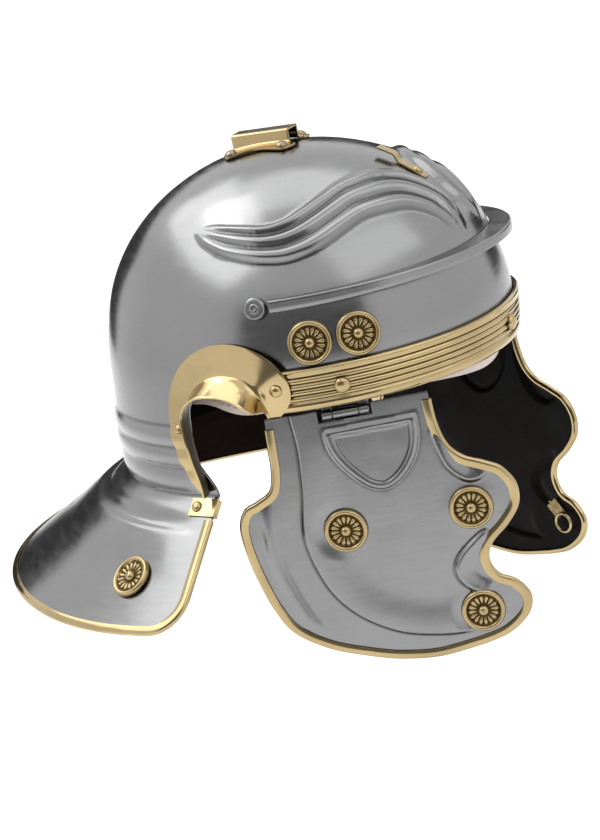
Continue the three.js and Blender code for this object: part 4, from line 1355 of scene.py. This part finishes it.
def cheek_shade_and_residue(point):
    """Painted shade, with some polish residue, along the feet of the shapes pressed into a guard."""
    spot = Vector((point.y, point.z))
    away, share = from_line(STEP_LINE, spot)
    behind, level = CHEEK_ROSETTES[2]
    clear = smoothstep((spot - Vector((behind, level))).length, 11, 17)
    darkening = 0.75 * clear * (1 - smoothstep(share, 0.9, 1)) * hump(away, 1.7, 1.6)
    edge = abs(from_line(SHIELD, spot)[0])
    if within(SHIELD[0], spot):
        darkening += 0.55 * hump(edge, 4.6, 1.0)
    else:
        darkening += 0.6 * hump(edge, 0, 1.8)
    for crescent in CRESCENTS:
        away, share = from_line(crescent, spot)
        darkening += 0.6 * hump(away, 1.4, 1.8) * math.sin(math.pi * clamp(share)) ** 0.5
    return clamp(darkening)


CHEEK_COLUMNS = 170
CHEEK_ROWS = 220


def cheek_skin():
    def place(u, v):
        spot = cheek_place(u, v)
        return on_cheek(spot.x, spot.y, CHEEK_WALL / 2 + cheek_relief(spot))

    mesh = bent_grid(CHEEK_COLUMNS, CHEEK_ROWS, place)
    notch_foot = CHEEK_TOP - NOTCH_DEPTH
    for cut, normal in (((0, NOTCH_FRONT, 0), (0, 1, 0)), ((0, NOTCH_BACK, 0), (0, 1, 0)),
                        ((0, 0, notch_foot), (0, 0, 1))):
        top = [f for f in mesh.faces if f.calc_center_median().z > -12 * MM]
        edges = {e for f in top for e in f.edges}
        points = {v for f in top for v in f.verts}
        bmesh.ops.bisect_plane(mesh, geom=list(points) + list(edges) + top, dist=1e-7,
                               plane_co=Vector(cut) * MM, plane_no=normal)
    notch = []
    for face in mesh.faces:
        middle = face.calc_center_median() / MM
        if NOTCH_FRONT < middle.y < NOTCH_BACK and middle.z > notch_foot:
            notch.append(face)
    bmesh.ops.delete(mesh, geom=notch, context="FACES")
    # The guard's grooves darken: painted groove shade, with some polish residue.
    return set_hollow(face_away(mesh, (0, -50, -70)), cheek_shade_and_residue)


def cheek_edge_stations():
    def station(u, v):
        spot = cheek_place(u, v)
        return on_cheek(spot.x, spot.y), cheek_outward(spot.x, spot.y)

    steps = 150
    stations = [station(0, i / steps) for i in range(3, steps)]
    stations += [station(i / 60, 1) for i in range(61)]
    return stations + [station(1, i / steps) for i in range(steps - 1, 4, -1)]


hinge_middle = (HINGE_BACK + HINGE_FRONT) / 2
hinge_spot = on_cheek(hinge_middle, HINGE_LEVEL)
hinge_away = cheek_outward(hinge_middle, HINGE_LEVEL)
hinge_away.z = 0
hinge_away.normalize()
hinge_along = Vector((0, 0, 1)).cross(hinge_away).normalized()
half_hinge = (HINGE_BACK - HINGE_FRONT) / abs(hinge_along.y) / 2
leaf_off = -(BORE_RADIUS + BARREL_RADIUS) / 2
hinge_turned = Matrix((hinge_along, hinge_away, Vector((0, 0, 1)))).transposed().to_4x4()
hinge_place = Matrix.Translation(hinge_spot * MM) @ hinge_turned


def knuckle(start, end):
    """A rolled knuckle with softened ends, round the pin."""
    soft = 0.35
    loop = [(BORE_RADIUS, start), (BARREL_RADIUS - soft, start), (BARREL_RADIUS, start + soft),
            (BARREL_RADIUS, end - soft), (BARREL_RADIUS - soft, end), (BORE_RADIUS, end)]
    mesh = bmesh.new()
    points = [mesh.verts.new((along * MM, 0, radius * MM)) for radius, along in loop]
    edges = [mesh.edges.new(pair) for pair in zip(points, points[1:] + points[:1])]
    bmesh.ops.spin(mesh, geom=points + edges, cent=(0, 0, 0), axis=(1, 0, 0), angle=TAU,
                   steps=32, use_merge=True, use_duplicate=False)
    welded(mesh, 1e-7)
    bmesh.ops.recalc_face_normals(mesh, faces=mesh.faces[:])
    return mesh


def leaf(start, end, low, high):
    size = (end - start, LEAF_THICKNESS, high - low)
    return plate(size, ((start + end) / 2, leaf_off, (low + high) / 2), 0.3)


def upper_hinge():
    inner = KNUCKLE_SPLIT + 0.3
    parts = [knuckle(-half_hinge, -inner), knuckle(inner, half_hinge)]
    parts += [leaf(-half_hinge, -inner, 0, 4), leaf(inner, half_hinge, 0, 4)]
    parts.append(leaf(-half_hinge, half_hinge, 3.5, 14))
    return moved(joined(parts), hinge_place)


def lower_hinge():
    parts = [knuckle(-KNUCKLE_SPLIT, KNUCKLE_SPLIT), leaf(-KNUCKLE_SPLIT, KNUCKLE_SPLIT, -4, 0)]
    parts.append(leaf(-half_hinge, half_hinge, -14, -3.5))
    return moved(joined(parts), hinge_place)


def hinge_pin():
    """A wire pin with rounded ends."""
    mesh = bmesh.new()
    bmesh.ops.create_cone(mesh, cap_ends=True, segments=24, radius1=PIN_RADIUS * MM,
                          radius2=PIN_RADIUS * MM, depth=2 * half_hinge * MM)
    ends = [e for e in mesh.edges if abs(e.verts[0].co.z - e.verts[1].co.z) < 1e-6]
    bmesh.ops.bevel(mesh, geom=ends, offset=0.4 * MM, segments=3, profile=0.5,
                    affect="EDGES", material=-1)
    moved(mesh, Matrix.Rotation(math.pi / 2, 4, "Y"))
    return moved(mesh, hinge_place)


TAB_SPOT = (-103.5, -120)
TAB_TILT = -0.7
RING_SPOT = (-109, -127.5)


def lace_tab():
    """A small flat brass tab riveted inside the guard, by the ring."""
    def place(t, level, off):
        behind = mix(-4, 4, t)
        turned = Vector((behind, level))
        turned.rotate(Matrix.Rotation(TAB_TILT, 2))
        spot = (TAB_SPOT[0] + turned.x, TAB_SPOT[1] + turned.y)
        return on_cheek(*spot, off)

    low = -CHEEK_WALL / 2 - 1.4
    high = -CHEEK_WALL / 2 - 0.4
    outline = [(-4.8, high), (-5, high - 0.2), (-5, low + 0.2), (-4.8, low), (0, low), (4.8, low),
               (5, low + 0.2), (5, high - 0.2), (4.8, high), (0, high)]
    return set_hollow(bent_bar(8, outline, place), lambda point: 0.45)


def lace_ring():
    """A wire ring hanging in the tab."""
    mesh = bmesh.new()
    bmesh.ops.create_circle(mesh, cap_ends=False, segments=14, radius=0.9 * MM)
    moved(mesh, Matrix.Translation((5.5 * MM, 0, 0)) @ Matrix.Rotation(math.pi / 2, 4, "X"))
    bmesh.ops.spin(mesh, geom=mesh.verts[:] + mesh.edges[:], cent=(0, 0, 0), axis=(0, 0, 1),
                   angle=TAU, steps=48, use_merge=True, use_duplicate=False)
    welded(mesh, 1e-7)
    bmesh.ops.recalc_face_normals(mesh, faces=mesh.faces[:])
    turn = cheek_outward(*RING_SPOT).to_track_quat("Z", "Y").to_matrix().to_4x4()
    spot = on_cheek(*RING_SPOT, -CHEEK_WALL / 2 - 2.9)
    return moved(mesh, Matrix.Translation(spot * MM) @ turn)


finish_pair("hinge_leaf_upper", upper_hinge(), "fittings_steel", [steel_fitting], "hinge_upper",
            smooth=35)
finish_pair("hinge_wire", hinge_pin(), "fittings_steel", [steel_fitting], "hinge_pin")

left_hinge = Vector((-hinge_spot.x, hinge_spot.y, hinge_spot.z)) * MM
left_pin = Vector((-hinge_along.x, hinge_along.y, 0))
left_place = (Matrix.Translation(left_hinge) @ Matrix.Rotation(LEFT_SWING, 4, left_pin)
              @ Matrix.Translation(-left_hinge))


def finish_guard_pair(name, mesh, slot, material, node, **more):
    """A piece of the right guard, and its mirror image hung on the left one."""
    other = moved(mirrored(mesh), left_place)
    finish_piece(f"{name}_a", mesh, "right_guard", slot, material, [f"{node}_right"], **more)
    finish_piece(f"{name}_b", other, "left_guard", slot, material, [f"{node}_left"], **more)


finish_guard_pair("cheek_plate", cheek_skin(), "guard_steel", [steel_guard, inner_paint], "cheek",
                  wall=CHEEK_WALL, edge=0.35, smooth=55)
cheek_fold = folded_outline(CHEEK_WALL / 2, EDGING_DEPTH, 1.8)
finish_guard_pair("cheek_edging", edging(cheek_edge_stations(), cheek_fold),
                  "edging_brass", [brass_edging], "cheek_trim")
finish_guard_pair("hinge_leaf_lower", lower_hinge(), "fittings_steel", [steel_fitting],
                  "hinge_lower", smooth=35)
finish_guard_pair("lace_tab_plate", lace_tab(), "fittings_brass", [brass_fitting], "lace_tab")
finish_guard_pair("lace_wire_ring", lace_ring(), "fittings_brass", [brass_fitting], "lace_ring")
for number, (behind, level) in enumerate(CHEEK_ROSETTES, start=1):
    stud = rosette(on_cheek(behind, level, CHEEK_WALL / 2 + 0.4), cheek_outward(behind, level))
    finish_guard_pair(f"cheek_rosette_disc_{number}", stud, "rosette_brass", [brass_rosette],
                      f"cheek_rosette_{number}")


# ---------------------------------------------------------------- floor, light and surroundings

FLOOR_LEVEL = -0.34
FLOOR_HALF_SIZE = 60
SURROUND_STRENGTH = 1.22
LIGHT_AIM = Vector((0, 0, 0.05))
CARD_AIM = Vector((0, 0, 0.03))
# Each soft box: its name, its place (azimuth, height, distance), its size and its power.
SOFT_BOXES = [
    ("box_high_rear", (106, 52, 1.6), (2.3, 0.75), 11),
    ("box_core", (106, 62, 1.5), (0.9, 0.5), 3),
    ("box_top", (20, 76, 1.6), (1.3, 0.9), 5),
    ("box_high_front", (-114, 46, 1.6), (1.55, 0.9), 3.4)]
# Each dark card: its name, its place, its size and how light it is.
CARDS = [
    ("card_behind", (38, 6, 1.7), (1.95, 0.86), 0.02),
    ("card_behind_right", (-18, 2, 1.7), (0.8, 0.5), 0.03),
    ("card_near", (-170, 6, 1.2), (1.5, 0.86), 0.14)]


def pale_floor():
    material, nodes, links, shader = new_material("pale_floor")
    clouds = noise_on(nodes, links, 0.7, 2)
    tone = ramp_from(nodes, links, clouds.outputs["Fac"], [(0.3, grey(0.94)), (0.7, grey(0.96))])
    links.new(tone.outputs["Color"], shader.inputs["Base Color"])
    shader.inputs["Roughness"].default_value = 0.9
    shader.inputs["Specular IOR Level"].default_value = 0
    mesh = bmesh.new()
    bmesh.ops.create_grid(mesh, x_segments=8, y_segments=8, size=FLOOR_HALF_SIZE)
    bmesh.ops.translate(mesh, vec=(0, 0, FLOOR_LEVEL), verts=mesh.verts[:])
    floor = new_object("floor", mesh, [material])


def soft_box(name, spot, size, power):
    light = bpy.data.lights.new(name, "AREA")
    light.shape = "RECTANGLE"
    light.size, light.size_y = size
    light.energy = power
    lamp = bpy.data.objects.new(name, light)
    lamp.location = spot
    lamp.rotation_mode = "QUATERNION"
    lamp.rotation_quaternion = (LIGHT_AIM - Vector(spot)).to_track_quat("-Z", "Y")
    bpy.context.scene.collection.objects.link(lamp)


def card(name, spot, size, tone):
    """A card beside the object that only shows in the polished metal."""
    material, nodes, links, shader = new_material(name)
    weave = noise_on(nodes, links, 3, 2)
    shade = ramp_from(nodes, links, weave.outputs["Fac"],
                      [(0.3, grey(tone * 0.9)), (0.7, grey(tone * 1.1))])
    links.new(shade.outputs["Color"], shader.inputs["Base Color"])
    shader.inputs["Roughness"].default_value = 1
    mesh = bmesh.new()
    bmesh.ops.create_grid(mesh, x_segments=2, y_segments=2, size=0.5)
    bmesh.ops.scale(mesh, vec=(*size, 1), verts=mesh.verts[:])
    turn = (CARD_AIM - Vector(spot)).to_track_quat("Z", "Y").to_matrix().to_4x4()
    piece = new_object(name, moved(mesh, Matrix.Translation(spot) @ turn), [material])
    piece.visible_camera = False
    piece.visible_shadow = False
    piece.visible_diffuse = False


def around(azimuth, height, distance):
    """A place round the object: azimuth from +X towards +Y, height above the horizon."""
    a, h = math.radians(azimuth), math.radians(height)
    return (distance * math.cos(h) * math.cos(a), distance * math.cos(h) * math.sin(a),
            distance * math.sin(h) + 0.03)


def white_surround():
    world = bpy.data.worlds.new("surround")
    bpy.context.scene.world = world
    world.use_nodes = True
    sky = world.node_tree.nodes["Background"]
    sky.inputs["Color"].default_value = (1, 1, 1, 1)
    sky.inputs["Strength"].default_value = SURROUND_STRENGTH


pale_floor()
white_surround()
for name, place, size, power in SOFT_BOXES:
    soft_box(name, around(*place), size, power)
for name, place, size, tone in CARDS:
    card(name, around(*place), size, tone)

scene = bpy.context.scene
scene.view_settings.view_transform = "Standard"
scene.view_settings.look = "None"
